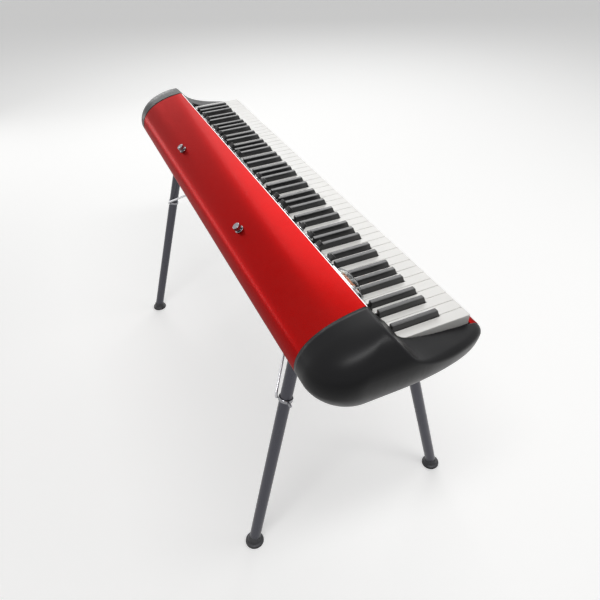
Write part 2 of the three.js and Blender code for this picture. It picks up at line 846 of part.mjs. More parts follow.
// Tub, bezel and sockets of the jack recess
const tubFaceY = bodyBack - recessDepth;
const recessZ = keyTop - recessTopDrop - recessHeight / 2;
const socketCount = phoneJackCount + dinCount + squareCount;
const socketPitch = (recessLength - 2 * socketEdge) / (socketCount - 1);

function bodyBand(outerGrow, innerGrow) {
  const section = [...coverLine(-outerGrow), ...coverLine(-innerGrow).reverse()];
  return alongX(section, -coverHalf, coverHalf);
}

function yBar(radius, x, z, fromY, toY) {
  return bar(radius, new THREE.Vector3(x, fromY, z), new THREE.Vector3(x, toY, z), socketFacets);
}

function socketX(i) {
  return recessMiddle - recessLength / 2 + socketEdge + i * socketPitch;
}

// A tub that is open to the back, with its walls trimmed to the body's bend
function tub(middle, length) {
  const outer = backOpening(middle, length, seatGap);
  const inner = backOpening(middle, length, seatGap + tubWall);
  const farY = bodyBack + recessDepth;
  const keep = box(-coverHalf, coverHalf, tubFaceY - tubWall, farY, bodyBottom, bodyTop);
  const open = box(-coverHalf, coverHalf, tubFaceY, farY, bodyBottom, bodyTop);
  const inside = alongX([...coverOuter, new THREE.Vector2(crestY, bodyBottom)], -coverHalf, coverHalf);
  return cut(common(common(outer, keep), inside), common(inner, open));
}

function makeRecess() {
  const front = tubFaceY - tubWall;
  const holes = [];
  for (let i = 0; i < phoneJackCount + dinCount; i += 1) {
    const radius = (i < phoneJackCount ? phoneBarrelRadius : dinBarrelRadius) + seatGap;
    holes.push(yBar(radius, socketX(i), recessZ, front - cutOverrun, tubFaceY + cutOverrun));
  }
  const usbX = socketX(socketCount - 1);
  const usbHalf = usbWidth / 2 + seatGap;
  const usbTall = usbHeight / 2 + seatGap;
  holes.push(box(
    usbX - usbHalf, usbX + usbHalf, front - cutOverrun, tubFaceY + cutOverrun,
    recessZ - usbTall, recessZ + usbTall,
  ));
  add('jack_plate', cut(tub(recessMiddle, recessLength), ...holes), 'inside');

  const ringHole = backOpening(recessMiddle, recessLength, seatGap);
  const ringOuter = backOpening(recessMiddle, recessLength, -recessBezelWidth);
  const band = bodyBand(recessBezelHeight, seatGap);
  add('jack_bezel', cut(common(band, ringOuter), ringHole), 'chrome');
}

// Sockets on their board; a phone socket's bore ends inside its body
function makeJacks() {
  const back = tubFaceY - tubWall - seatGap;
  const boardY = back - phoneBodyLength;
  const lastX = socketX(socketCount - 1);
  const half = phoneBodySize / 2;
  const solids = [];
  const bores = [];
  for (let i = 0; i < phoneJackCount; i += 1) {
    const x = socketX(i);
    const tip = tubFaceY + phoneBarrelProud;
    solids.push(
      box(x - half, x + half, boardY, back, recessZ - half, recessZ + half),
      yBar(phoneBarrelRadius, x, recessZ, back - tubWall, tip),
      yBar(phoneNutRadius, x, recessZ, tubFaceY + seatGap, tubFaceY + seatGap + phoneNutHeight),
    );
    bores.push(yBar(phoneBoreRadius, x, recessZ, boardY + wall, tip + cutOverrun));
  }
  for (let i = phoneJackCount; i < phoneJackCount + dinCount; i += 1) {
    const x = socketX(i);
    const tip = tubFaceY + seatGap + dinProud;
    solids.push(
      yBar(dinRadius, x, recessZ, tubFaceY + seatGap, tip),
      yBar(dinBarrelRadius, x, recessZ, boardY, tip - dinProud / 2),
    );
    bores.push(yBar(dinBoreRadius, x, recessZ, tip - dinBoreDepth, tip + cutOverrun));
  }
  const usbTip = tubFaceY + dinProud;
  const usb = (width, height, fromY, toY) => box(
    lastX - width / 2, lastX + width / 2, fromY, toY, recessZ - height / 2, recessZ + height / 2,
  );
  solids.push(usb(usbWidth, usbHeight, boardY, usbTip));
  bores.push(usb(usbBoreWidth, usbBoreHeight, usbTip - dinBoreDepth, usbTip + cutOverrun));
  const board = box(
    socketX(0) - jackBoardMargin, lastX + jackBoardMargin,
    boardY - boardThickness, boardY + boardThickness / 2,
    recessZ - jackBoardMargin, recessZ + jackBoardMargin,
  );
  add('jack_board', cut(join(board, ...solids), ...bores), 'steel');
}

// Mains inlet in its tub, and the rocker beside it
const rockerX = powerMiddle + rockerShift;
const rockerPivotY = tubFaceY - tubWall / 2;

function makePower() {
  const x = powerMiddle + inletShift;
  const bodyX = inletWidth / 2 + wall;
  const bodyZ = inletHeight / 2 + wall;
  const shell = box(
    x - bodyX, x + bodyX, tubFaceY - inletDepth - wall, tubFaceY, recessZ - bodyZ, recessZ + bodyZ,
  );
  const socket = box(
    x - inletWidth / 2, x + inletWidth / 2, tubFaceY - inletDepth, tubFaceY + cutOverrun,
    recessZ - inletHeight / 2, recessZ + inletHeight / 2,
  );
  const slotX = rockerHalfLength + 2 * seatGap;
  const slotZ = rockerWidth / 2 + 2 * seatGap;
  const slot = box(
    rockerX - slotX, rockerX + slotX, tubFaceY - tubWall - cutOverrun, tubFaceY + cutOverrun,
    recessZ - slotZ, recessZ + slotZ,
  );
  add('power_inlet', cut(join(tub(powerMiddle, powerLength), shell), socket, slot), 'inside');

  const rocker = alongZ(points([
    [-rockerHalfLength, rockerProud], [0, rockerProud - rockerDip], [rockerHalfLength, rockerProud],
    [rockerHalfLength - rockerTaper, -rockerRoot], [rockerTaper - rockerHalfLength, -rockerRoot],
  ]), -rockerWidth / 2, rockerWidth / 2);
  rocker.rotateZ(THREE.MathUtils.degToRad(-rockerTilt)).translate(rockerX, rockerPivotY, recessZ);
  add('power_switch', rocker, 'button');
}

// Main board, standing on edge behind the key frame
function makeBoard() {
  const faceY = keyBack + frameBackReach + boardSetback + boardThickness;
  const foot = trayTop + seatGap;
  const boardMiddle = alongKeyboard(boardMiddleShare);
  const low = boardMiddle - boardLength / 2;
  const high = boardMiddle + boardLength / 2;
  const middleZ = foot + boardHeight / 2;
  const plate = box(low, high, faceY - boardThickness, faceY, foot, foot + boardHeight);
  const half = boardFootSize / 2;
  const feet = [low + boardFootInset, high - boardFootInset].map(
    (x) => box(x - half, x + half, faceY - half, faceY + half, foot, foot + boardFootSize),
  );
  const chips = [-1, 0, 1].map((step) => {
    const x = boardMiddle + step * 2 * chipSize;
    const reach = chipSize / 2;
    return box(
      x - reach, x + reach, faceY - boardThickness / 2, faceY + chipHeight, middleZ - reach, middleZ + reach,
    );
  });
  add('main_board', join(plate, ...feet, ...chips), 'board');
}

// Legs: each runs from a place on the underside to the ball of its foot
const legTopX = bodyLength / 2 - legTopEndInset;

function legLine(side, end) {
  const topY = end > 0 ? bodyBack - legTopBackInset : bodyFront + legTopFrontInset;
  const ballY = end * bodyDepth * footSpreadShare / 2;
  const top = new THREE.Vector3(side * legTopX, topY, bodyBottom);
  const ball = new THREE.Vector3(side * (legTopX + footSplay), ballY, ballHeight);
  const down = ball.clone().sub(top).normalize();
  return { top, ball, down };
}

function alongLine(line, distance) {
  return line.top.clone().addScaledVector(line.down, distance);
}

// Distance along a leg from the underside to the end of its tube
function tubeStart(line) {
  const lean = Math.hypot(line.down.x, line.down.y);
  return (railThickness + 2 * seatGap + legRadius * lean) / Math.abs(line.down.z);
}

function makeLeg(name, line) {
  const start = tubeStart(line);
  const ballGap = Math.sqrt(ballRadius ** 2 - (legRadius - legWall) ** 2) + seatGap;
  const end = line.top.distanceTo(line.ball) - ballGap;
  const bore = legRadius - legWall;
  const profile = [[bore, start], [legRadius, start], [legRadius, end], [bore, end], [bore, start]];
  const turn = new THREE.Quaternion().setFromUnitVectors(Y, line.down);
  const tube = lathe(profile, legFacets).applyQuaternion(turn).translate(line.top.x, line.top.y, line.top.z);
  add(name, tube, 'leg');
}

function footShape(line) {
  const profile = [
    [0, 0], [footRadius, 0], [footRadius, footHeight - footEdge], [footRadius - footEdge, footHeight],
  ];
  const low = Math.asin((footHeight - ballHeight) / ballRadius);
  for (let i = 0; i <= ballSteps; i += 1) {
    const angle = low + ((Math.PI / 2 - low) * i) / ballSteps;
    profile.push([ballRadius * Math.cos(angle), ballHeight + ballRadius * Math.sin(angle)]);
  }
  profile[profile.length - 1][0] = 0;
  const upright = new THREE.Quaternion().setFromUnitVectors(Y, Z);
  const disc = lathe(profile, legFacets).applyQuaternion(upright).translate(line.ball.x, line.ball.y, 0);
  const pinTop = line.ball.clone().addScaledVector(line.down, -ballRadius - footPinLength);
  return join(disc, bar(footPinRadius, line.ball, pinTop, legFacets));
}

// Steel rail under the body with a sleeve for the front leg and one for the back leg
function legRail(front, back) {
  const plateTop = bodyBottom - seatGap;
  const { x } = front.top;
  const plate = box(
    x - railWidth / 2, x + railWidth / 2, front.top.y - railFrontReach, back.top.y + railBackReach,
    plateTop - railThickness, plateTop,
  );
  const above = box(
    x - railWidth, x + railWidth, front.top.y - 2 * railFrontReach, back.top.y + 2 * railFrontReach,
    plateTop, plateTop + sleeveLength,
  );
  const sleeve = (line) => bar(
    legRadius + seatGap + sleeveWall, alongLine(line, -cutOverrun), alongLine(line, sleeveLength), legFacets,
  );
  const bore = (line) => bar(
    (legRadius + seatGap) / Math.cos(Math.PI / legFacets),
    alongLine(line, tubeStart(line) - seatGap), alongLine(line, sleeveLength + cutOverrun), legFacets,
  );
  return cut(join(plate, cut(join(sleeve(front), sleeve(back)), above)), bore(front), bore(back));
}

// Clamp on a back leg: collar, screw on the outside, and the eye that takes the rod's hook
function clampPlace(line, rise) {
  const distance = (clampDrop - rise) / Math.abs(line.down.z);
  return alongLine(line, distance);
}

function rodDirection(side) {
  const angle = THREE.MathUtils.degToRad(rodAngle);
  return new THREE.Vector3(-side * Math.cos(angle), Math.sin(angle), 0);
}

function clampShape(line, side) {
  const middle = clampPlace(line, 0);
  const half = line.down.clone().multiplyScalar(clampLength / 2);
  const past = line.down.clone().multiplyScalar(clampLength);
  const bore = (legRadius + seatGap) / Math.cos(Math.PI / legFacets);
  const collar = bar(legRadius + clampWall, middle.clone().sub(half), middle.clone().add(half), legFacets);
  const outwards = new THREE.Vector3(side, 0, 0);
  const tip = middle.clone().addScaledVector(outwards, legRadius + clampWall + clampScrewLength);
  const screw = bar(clampScrewRadius, middle, tip, rodFacets);
  return cut(join(collar, screw), bar(bore, middle.clone().sub(past), middle.clone().add(past), legFacets));
}

function rodShape(line, side) {
  const out = rodDirection(side);
  const collarReach = legRadius + clampWall + rodRadius + seatGap;
  const hookEnd = clampPlace(line, 0).addScaledVector(out, collarReach);
  const bend = clampPlace(line, rodHookRise).addScaledVector(out, collarReach + rodRadius);
  const plateTop = bodyBottom - seatGap;
  const footX = side * (legTopX - rodFootInset);
  const footY = bodyBack - rodFootForward;
  const foot = new THREE.Vector3(footX, footY, plateTop - rodFootThickness);
  const plate = box(
    footX - rodFootLength / 2, footX + rodFootLength / 2, footY - rodFootWidth / 2, footY + rodFootWidth / 2,
    plateTop - rodFootThickness, plateTop,
  );
  const elbow = new THREE.SphereGeometry(rodElbowRadius, rodFacets, rodFacets / 2);
  return join(
    plate, bar(rodRadius, bend, foot, rodFacets), bar(rodRadius, hookEnd, bend, rodFacets),
    elbow.translate(bend.x, bend.y, bend.z),
  );
}

function makeStand() {
  [['left', -1], ['right', 1]].forEach(([sideName, side]) => {
    const front = legLine(side, -1);
    const back = legLine(side, 1);
    makeLeg(`leg_${sideName}_front`, front);
    makeLeg(`leg_${sideName}_back`, back);
    add(`foot_${sideName}_front`, footShape(front), 'rubber');
    add(`foot_${sideName}_back`, footShape(back), 'rubber');
    add(`leg_rail_${sideName}`, legRail(front, back), 'steel');
    add(`leg_clamp_${sideName}`, clampShape(back, side), 'chrome');
    add(`stay_rod_${sideName}`, rodShape(back, side), 'steel');
  });
}

makeTray();
makeCover();
makeEndCaps();
makeFrontRail();
makeKeyFrame();
makeKeys();
makePanel();
makeKnobs();
makeButtons();
makeWindow();
makeTube();
makeThumbScrews();
makeRecess();
makeJacks();
makePower();
makeBoard();
makeStand();

export default piano;
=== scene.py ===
import functools
import math

import bmesh
import bpy
import numpy as np
from bpy.props import FloatProperty, FloatVectorProperty, IntProperty, PointerProperty
from mathutils import Matrix, Vector


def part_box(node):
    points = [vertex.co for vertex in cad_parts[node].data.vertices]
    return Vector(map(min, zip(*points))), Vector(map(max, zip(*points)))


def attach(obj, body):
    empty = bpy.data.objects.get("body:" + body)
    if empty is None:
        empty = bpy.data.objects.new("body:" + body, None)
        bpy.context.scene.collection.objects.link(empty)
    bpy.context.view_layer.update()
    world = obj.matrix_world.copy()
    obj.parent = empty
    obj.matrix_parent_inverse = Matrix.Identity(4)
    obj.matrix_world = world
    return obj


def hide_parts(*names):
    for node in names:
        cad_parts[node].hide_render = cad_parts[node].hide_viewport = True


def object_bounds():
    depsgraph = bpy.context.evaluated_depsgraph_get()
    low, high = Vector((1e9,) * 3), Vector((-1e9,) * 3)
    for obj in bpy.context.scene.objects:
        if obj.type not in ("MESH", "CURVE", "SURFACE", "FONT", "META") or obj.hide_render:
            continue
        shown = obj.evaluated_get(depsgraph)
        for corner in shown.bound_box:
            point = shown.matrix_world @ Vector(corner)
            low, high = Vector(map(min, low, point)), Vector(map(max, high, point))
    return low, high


bl_info = {
    "name": "Stage piano dressing",
    "version": (1, 0, 0),
    "blender": (4, 5, 0),
    "location": "3D View > Sidebar > Piano",
    "description": "Dresses the solids of a stage piano with smooth surfaces and finishes",
    "category": "Object",
}

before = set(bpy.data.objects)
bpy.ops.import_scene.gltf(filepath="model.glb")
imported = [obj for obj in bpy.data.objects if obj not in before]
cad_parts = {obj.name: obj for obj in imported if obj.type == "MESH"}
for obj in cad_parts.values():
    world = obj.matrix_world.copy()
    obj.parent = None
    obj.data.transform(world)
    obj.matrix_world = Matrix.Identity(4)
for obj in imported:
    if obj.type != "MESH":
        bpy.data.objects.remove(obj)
cad_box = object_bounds()

MM = 0.001
CASE = "case_and_stand"
X_AXIS = np.array([1.0, 0, 0])


def solid_box(node):
    """Lowest and highest corner of a solid at rest, in millimetres."""
    low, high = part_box(node)
    return np.array(low) / MM, np.array(high) / MM


def middle_x(node):
    """Middle of a solid's length, in millimetres."""
    low, high = solid_box(node)
    return (low[0] + high[0]) / 2


# Body, in millimetres: x runs along the keys, y to the back and z up
KEYS_LOW, KEYS_HIGH = solid_box("white_keys_1")
KEY_FRONT, KEY_UNDER = KEYS_LOW[1:]
KEY_BACK, KEY_TOP = KEYS_HIGH[1:]
COVER_HALF, BODY_BACK = solid_box("top_cover")[1][:2]
CAP_END = solid_box("right_end_cap")[1][0]
BODY_BOTTOM = solid_box("bottom_case")[0][2]
BODY_TOP = float(cad_box[1].z) / MM
BODY_FRONT = KEY_FRONT - 25
CREST_Y = KEY_FRONT + 190.6
BACK_LINE_Z = BODY_TOP - 87
UNDER_EDGE_Y = BODY_BACK - 0.225 * (BODY_BACK - BODY_FRONT)
GAP = 0.3

# The body's section in (y, z): corners of the bends from the crest down the back and on to the underside
CROWN = [
    (CREST_Y, BODY_TOP), (CREST_Y + 68, BODY_TOP - 6), (BODY_BACK, BODY_TOP - 32),
    (BODY_BACK, BACK_LINE_Z),
]
UNDER = [
    CROWN[3], (BODY_BACK, BACK_LINE_Z - 15), (BODY_BACK - 33, BODY_BOTTOM), (UNDER_EDGE_Y, BODY_BOTTOM),
]

# Openings in the back
RECESS_LOW, RECESS_HIGH = KEY_TOP - 77, KEY_TOP - 45
RECESS_Z = (RECESS_LOW + RECESS_HIGH) / 2
SOCKET_FACE_Y = BODY_BACK - 44

# Control panel: ROW is the middle of the row of controls, ROW_S its distance down the slope
SLOPE_DOWN, SLOPE_OUT = np.array([0.0, -0.6, -0.8]), np.array([0.0, -0.8, 0.6])
PANEL_LENGTH = 60.0
PANEL_FOOT = np.array([0.0, KEY_FRONT + 153, KEY_TOP + 12])
PANEL_TOP = PANEL_FOOT - PANEL_LENGTH * SLOPE_DOWN
ROW_S = PANEL_LENGTH / 2
ROW = PANEL_TOP + ROW_S * SLOPE_DOWN

# Keyboard; a black key leans from the line between its neighbours
KEY_PITCH = 23.5
WHITE_COUNT = 52
KEYBOARD_HALF = WHITE_COUNT * KEY_PITCH / 2
KEY_GAP = 0.8
LETTERS = "ABCDEFG"
BLACK_LEAN = {"C": -2.35, "D": 2.35, "F": -3.36, "G": 0.0, "A": 3.36}
BLACK_HALF = 5.8
BLACK_RISE = 12.0
BLACK_SETBACK = 50.0
BLACK_LENGTH = 97.0
BANKS = range(1, 5)

# End caps: e is the distance beyond the keyboard's end
CAP_REACH = CAP_END - KEYBOARD_HALF
CAP_ROUND, CAP_TUCK, NOSE_TUCK = 60, 60, 21
WIDEST_Z, WAIST_Y = BODY_TOP - 61, BODY_FRONT + 200
CHEEK_E, SKIN_E = 2, 2.02

# Rays that find the caps' surface start at a hub, which drifts over a run of e
HUB_Y, HUB_Z, RAY_REACH = 10, 610, 270.0
DRIFT_RUN, DRIFT_Y, DRIFT_Z = 65, 38, 48

# Ways that a shape drawn flat is set: mirrored, hanging, or with its height to the front or the back
MIRRORED = np.diag([-1.0, 1, 1])
HANGING = np.diag([1.0, 1, -1])
TO_FRONT = np.array([[1.0, 0, 0], [0, 0, 1], [0, -1, 0]])
TO_BACK = np.array([[1.0, 0, 0], [0, 0, 1], [0, 1, 0]])
Y_AXIS = (0, 1, 0)

# Meshes: points closer than a distance in metres are joined, edges sharper than an angle bevelled

WELD = 2e-6
BEVEL_FROM = 50


def piece(name, patches, body, slot, look, *replaces, sharp=40, wall=0.0, bevel=0.0, clean=True):
    """One mesh object out of patches of (points, faces) in millimetres, welded where they meet.

    It rides on its body, has a look, and replaces solids; its slot is not used. A wall makes a sheet
    solid on its inner side, and clean turns the faces outwards."""
    points, faces, start = [], [], 0
    for patch_points, patch_faces in patches:
        points.append(patch_points)
        faces += [[int(i) + start for i in face] for face in patch_faces]
        start += len(patch_points)
    mesh = bpy.data.meshes.new(name)
    mesh.from_pydata(np.vstack(points) * MM, [], faces)
    mesh.materials.append(finish(look))
    weld = bmesh.new()
    weld.from_mesh(mesh)
    bmesh.ops.remove_doubles(weld, verts=weld.verts, dist=WELD)
    bmesh.ops.dissolve_degenerate(weld, edges=weld.edges, dist=WELD / 2)
    if clean:
        bmesh.ops.recalc_face_normals(weld, faces=weld.faces)
    weld.to_mesh(mesh)
    weld.free()
    mesh.polygons.foreach_set("use_smooth", [True] * len(mesh.polygons))
    mesh.set_sharp_from_angle(angle=math.radians(sharp))
    made = bpy.data.objects.new(name, mesh)
    bpy.context.scene.collection.objects.link(made)
    if wall:
        solid = made.modifiers.new("wall", "SOLIDIFY")
        solid.thickness, solid.offset, solid.use_quality_normals = wall * MM, -1, True
    if bevel:
        edge = made.modifiers.new("edge", "BEVEL")
        edge.width, edge.segments = bevel * MM, 3
        edge.limit_method, edge.angle_limit = "ANGLE", math.radians(BEVEL_FROM)
    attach(made, body)
    if replaces:
        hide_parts(*replaces)


def unit(vectors):
    """Each vector divided by its length."""
    return vectors / np.linalg.norm(vectors, axis=-1, keepdims=True)


def grid(points, keep=None, flip=False):
    """Faces between neighbouring points of a grid with two parameters; keep tells which cells stay."""
    rows, columns = points.shape[:2]
    number = np.arange(rows * columns).reshape(rows, columns)
    quads = np.stack([number[:-1, :-1], number[1:, :-1], number[1:, 1:], number[:-1, 1:]], -1)
    if flip:
        quads = quads[..., ::-1]
    if keep is not None:
        quads = quads[keep]
    return points.reshape(-1, 3), quads.reshape(-1, 4).tolist()


def sheet(outer, inner, keep):
    """A sheet between two grids of points, closed along its edges and round its openings."""
    points, faces = grid(outer, keep)
    faces = np.array(faces)
    sides = np.concatenate([faces[:, [k, (k + 1) % 4]] for k in range(4)])
    _, first, times = np.unique(np.sort(sides, 1), axis=0, return_index=True, return_counts=True)
    rim = sides[first[times == 1]]
    walls = np.column_stack([rim[:, ::-1], rim + len(points)])
    used, order = np.unique(np.concatenate([faces, faces[:, ::-1] + len(points), walls]),
        return_inverse=True)
    return np.vstack([points, inner.reshape(-1, 3)])[used], order.reshape(-1, 4).tolist()


def outward(patch, inside):
    """The patch with its faces turned so that most of them look away from a place inside."""
    points, faces = patch
    a, b, c = np.moveaxis(points[[face[:3] for face in faces]], 1, 0)
    facing = (np.cross(b - a, c - a) * (a - inside)).sum()
    return points, [face[::-1] for face in faces] if facing < 0 else faces


def moved(patches, axes, origin=(0, 0, 0)):
    """Patches set with x, y and z along three axes from an origin; a mirroring turns their faces round."""
    axes = np.array(axes)
    turn = -1 if np.linalg.det(axes) < 0 else 1
    return [(points @ axes + origin, [face[::turn] for face in faces]) for points, faces in patches]


def on_panel(patches):
    """Patches drawn with x along the panel, y down its slope and z out of it, set on the panel."""
    return moved(patches, [X_AXIS, SLOPE_DOWN, SLOPE_OUT], PANEL_TOP)


def bezier(corners, t):
    """A cubic bend: each corner weighted by its share of t, (1-t)^3, 3t(1-t)^2, 3t^2(1-t) and t^3."""
    a, b, c, d = np.asarray(corners, float)
    t = np.asarray(t, float)[..., None]
    return a * (1 - t) ** 3 + 3 * b * t * (1 - t) ** 2 + 3 * c * t**2 * (1 - t) + d * t**3


def bend(corners, count):
    """A number of points along a cubic bend."""
    return bezier(corners, np.linspace(0, 1, count))


def arc(middle, radius, start, end, count):
    """Points of an arc between two angles in degrees; a pair of radii makes it an ellipse's."""
    angle = np.radians(np.linspace(start, end, count))
    return np.asarray(middle) + np.asarray(radius) * np.column_stack([np.cos(angle), np.sin(angle)])


def quarter(count):
    """Even angles from 0 to a quarter turn."""
    return np.linspace(0, np.pi / 2, count)


def smooth_max(a, b, reach):
    """The larger of two values, raised by a quarter of reach times the square of how close they are."""
    near = np.clip(1 - np.abs(a - b) / np.maximum(reach, 1e-6), 0, 1)
    return np.maximum(a, b) + reach * near**2 / 4


def ramp(value, low, high):
    """0 below low and 1 above high, with the curve 3t^2 - 2t^3 between them."""
    t = np.clip((value - low) / (high - low), 0, 1)
    return t * t * (3 - 2 * t)


def turned(profile, origin=(0, 0, 0), axis=(0, 0, 1), segments=48, ribs=0, rib_depth=0.0, rib_span=(0, 0)):
    """A profile of (radius, height) turned round an axis.

    Inside rib_span of heights the radius loses rib_depth times (1 - cos(ribs * angle)) / 2."""
    profile = np.asarray(profile, float)
    angle = np.linspace(0, 2 * np.pi, segments + 1)
    radius, height = np.repeat(profile.T[..., None], segments + 1, 2)
    inside = (height > rib_span[0]) & (height < rib_span[1])
    radius = radius - inside * rib_depth * (1 - np.cos(ribs * angle)) / 2
    turn = np.array(Vector((0, 0, 1)).rotation_difference(Vector(axis)).to_matrix())
    local = np.stack([radius * np.cos(angle), radius * np.sin(angle), height], -1)
    return grid(local @ turn.T + origin, flip=True)


def disc(radius, low, high):
    """Profile of a plain round plate or rod."""
    return [(0, low), (radius, low), (radius, high), (0, high)]


def carried(section, path, normal):
    """A section of (side, out) carried along a path in a plane, and closed at both ends.

    Each point is path + side * (normal x along) + out * (along x that side)."""
    along = unit(np.gradient(path, axis=0))
    side = unit(np.cross(normal, along))
    out = np.cross(along, side)
    points = path[:, None] + section[None, :, :1] * side[:, None] + section[None, :, 1:] * out[:, None]
    ring = list(range(len(section) - 1))
    return [grid(points), (points[0], [ring[::-1]]), (points[-1], [ring])]


def along_x(loop, low, high):
    """A closed loop of (y, z) carried straight along x, with both ends closed."""
    closed = np.vstack([loop, loop[:1]])
    ends = [np.column_stack([np.full(len(closed), x), closed]) for x in (low, high)]
    ring = list(range(len(loop)))
    return [grid(np.stack(ends)), (ends[0], [ring]), (ends[1], [ring[::-1]])]


def rounded(outline, radius, steps=3):
    """The outline with each convex corner replaced by an arc; the outline runs anticlockwise."""
    made = []
    for before, corner, after in zip(np.roll(outline, 1, 0), outline, np.roll(outline, -1, 0)):
        first, second = unit(corner - before), unit(after - corner)
        if first[0] * second[1] - first[1] * second[0] < 0.1:
            made.append(corner)
            continue
        centre = corner + radius * (second - first)
        angles = quarter(steps + 1)[:, None]
        made += list(centre + radius * (first * np.sin(angles) - second * np.cos(angles)))
    return np.array(made)


def oblong(low_x, high_x, low_y, high_y, corner=0.0, steps=3):
    """A rectangle with round corners where a radius is given."""
    outline = np.array([[low_x, low_y], [high_x, low_y], [high_x, high_y], [low_x, high_y]], float)
    return rounded(outline, corner, steps) if corner else outline


def oblong_at(x, y, half_x, half_y, corner, steps=3):
    """The same about its middle."""
    return oblong(x - half_x, x + half_x, y - half_y, y + half_y, corner, steps)


def inset(outline, distance):
    """Each corner moved inwards by distance along both of its sides' normals."""
    first, second = unit(outline - np.roll(outline, 1, 0)), unit(np.roll(outline, -1, 0) - outline)
    a, b = first[:, ::-1] * [-1, 1], second[:, ::-1] * [-1, 1]
    return outline + distance * (a + b) / (1 + (a * b).sum(1, keepdims=True))


def level_rings(rings):
    """Rings of (outline, height), each closed on itself, as one grid of points."""
    points = np.stack([np.column_stack([ring, np.full(len(ring), height)]) for ring, height in rings])
    return np.concatenate([points, points[:, :1]], 1)


def stacked(rings):
    """Rings of (outline, height) joined one above the other and closed at both ends."""
    points = level_rings(rings)
    ring = list(range(points.shape[1] - 1))
    return [grid(points, flip=True), (points[0], [ring[::-1]]), (points[-1], [ring])]


def block(outline, low, high, edge, steps=3, lower=None):
    """A plate of the outline from low to high whose top edge is a quarter round.

    A ring is inset by edge * (1 - cos a) at the height high - edge * (1 - sin a). lower gives the rings
    below it in place of the straight wall."""
    rings = lower or [(outline, low), (outline, high - edge)]
    for angle in quarter(steps + 1)[1:]:
        rings.append((inset(outline, edge * (1 - np.cos(angle))), high - edge * (1 - np.sin(angle))))
    return stacked([*rings, (inset(outline, edge + 0.3), high)])


def ringed(outline, section):
    """Rings of the outline, each inset and raised as the closed section says, as one grid of points."""
    return level_rings([(inset(outline, inward), height) for inward, height in [*section, section[0]]])


# Materials


def node(tree, kind, inputs=None, **settings):
    """A node with its settings; an input is a value, or another node's output to join to it."""
    made = tree.nodes.new(f"ShaderNode{kind}")
    for key, value in settings.items():
        setattr(made, key, value)
    for key, value in (inputs or {}).items():
        if isinstance(value, bpy.types.NodeSocket):
            tree.links.new(value, made.inputs[key])
        else:
            made.inputs[key].default_value = value
    return made


def worked_out(tree, operation, *values, clamp=False):
    """Result of a Math node."""
    return node(tree, "Math", dict(enumerate(values)), operation=operation, use_clamp=clamp).outputs[0]


def noise(tree, where, scale, detail, distortion=0.0):
    """Value of a noise."""
    inputs = {"Vector": where, "Scale": scale, "Detail": detail, "Distortion": distortion}
    return node(tree, "TexNoise", inputs).outputs["Fac"]


def mixed(tree, share, first, second):
    """A colour between two."""
    return node(tree, "Mix", {0: share, 6: first, 7: second}, data_type="RGBA").outputs[2]


def group(name, inputs, outputs):
    """A node group and its inputs; None stands for a place, a tuple for a colour, a number for itself."""
    tree = bpy.data.node_groups.new(name, "ShaderNodeTree")
    for label, default in inputs.items():
        kind = "Vector" if default is None else "Color" if isinstance(default, tuple) else "Float"
        socket = tree.interface.new_socket(name=label, in_out="INPUT", socket_type=f"NodeSocket{kind}")
        if default is not None:
            socket.default_value = default
    for label, kind in outputs.items():
        tree.interface.new_socket(name=label, in_out="OUTPUT", socket_type=f"NodeSocket{kind}")
    return tree, tree.nodes.new("NodeGroupInput").outputs


def put_out(tree, **values):
    """Joins values to the group's outputs."""
    result = tree.nodes.new("NodeGroupOutput")
    for label, value in values.items():
        tree.links.new(value, result.inputs[label])
    return tree


@functools.cache
def grain_group():
    """Fine grain of moulded plastic or sprayed paint: one noise for the bumps and one for the gloss."""
    inputs = {"Position": None, "Grains per metre": 900.0, "Depth": 0.2, "Roughness": 0.4, "Spread": 0.06}
    tree, given = group("Fine grain", inputs, {"Roughness": "Float", "Normal": "Vector"})
    fine = noise(tree, given["Position"], given["Grains per metre"], 3.0)
    broad = worked_out(tree, "SUBTRACT", noise(tree, given["Position"], 14.0, 4.0), 0.5)
    gloss = worked_out(tree, "MULTIPLY_ADD", broad, given["Spread"], given["Roughness"])
    bump = node(tree, "Bump", {"Strength": given["Depth"], "Distance": 0.0002, "Height": fine})
    return put_out(tree, Roughness=gloss, Normal=bump.outputs[0])


@functools.cache
def handling_group():
    """Faint smears where hands touch: a stretched noise, cut to its upper part, as a mask."""
    inputs = {"Position": None, "Marks per metre": 30.0, "Amount": 0.1}
    tree, given = group("Handling marks", inputs, {"Mask": "Float"})
    stretched = node(tree, "Mapping", {"Vector": given["Position"], "Scale": (1.0, 2.2, 0.7)})
    smears = noise(tree, stretched.outputs[0], given["Marks per metre"], 5.0, 0.8)
    cut = node(tree, "MapRange", {"Value": smears, "From Min": 0.5, "From Max": 0.75})
    return put_out(tree, Mask=worked_out(tree, "MULTIPLY", cut.outputs[0], given["Amount"]))


@functools.cache
def dust_group():
    """Dust on what faces up: a patchy noise times the upward part of the surface's normal, as a colour."""
    inputs = {"Position": None, "Colour": (0.5, 0.5, 0.5, 1.0), "Amount": 0.03}
    tree, given = group("Light dust", inputs, {"Colour": "Color"})
    split = node(tree, "SeparateXYZ", {0: node(tree, "NewGeometry").outputs["Normal"]})
    upward = worked_out(tree, "MULTIPLY", split.outputs[2], noise(tree, given["Position"], 45.0, 6.0))
    amount = worked_out(tree, "MULTIPLY", upward, given["Amount"], clamp=True)
    return put_out(tree, Colour=mixed(tree, amount, given["Colour"], (0.62, 0.6, 0.56, 1.0)))


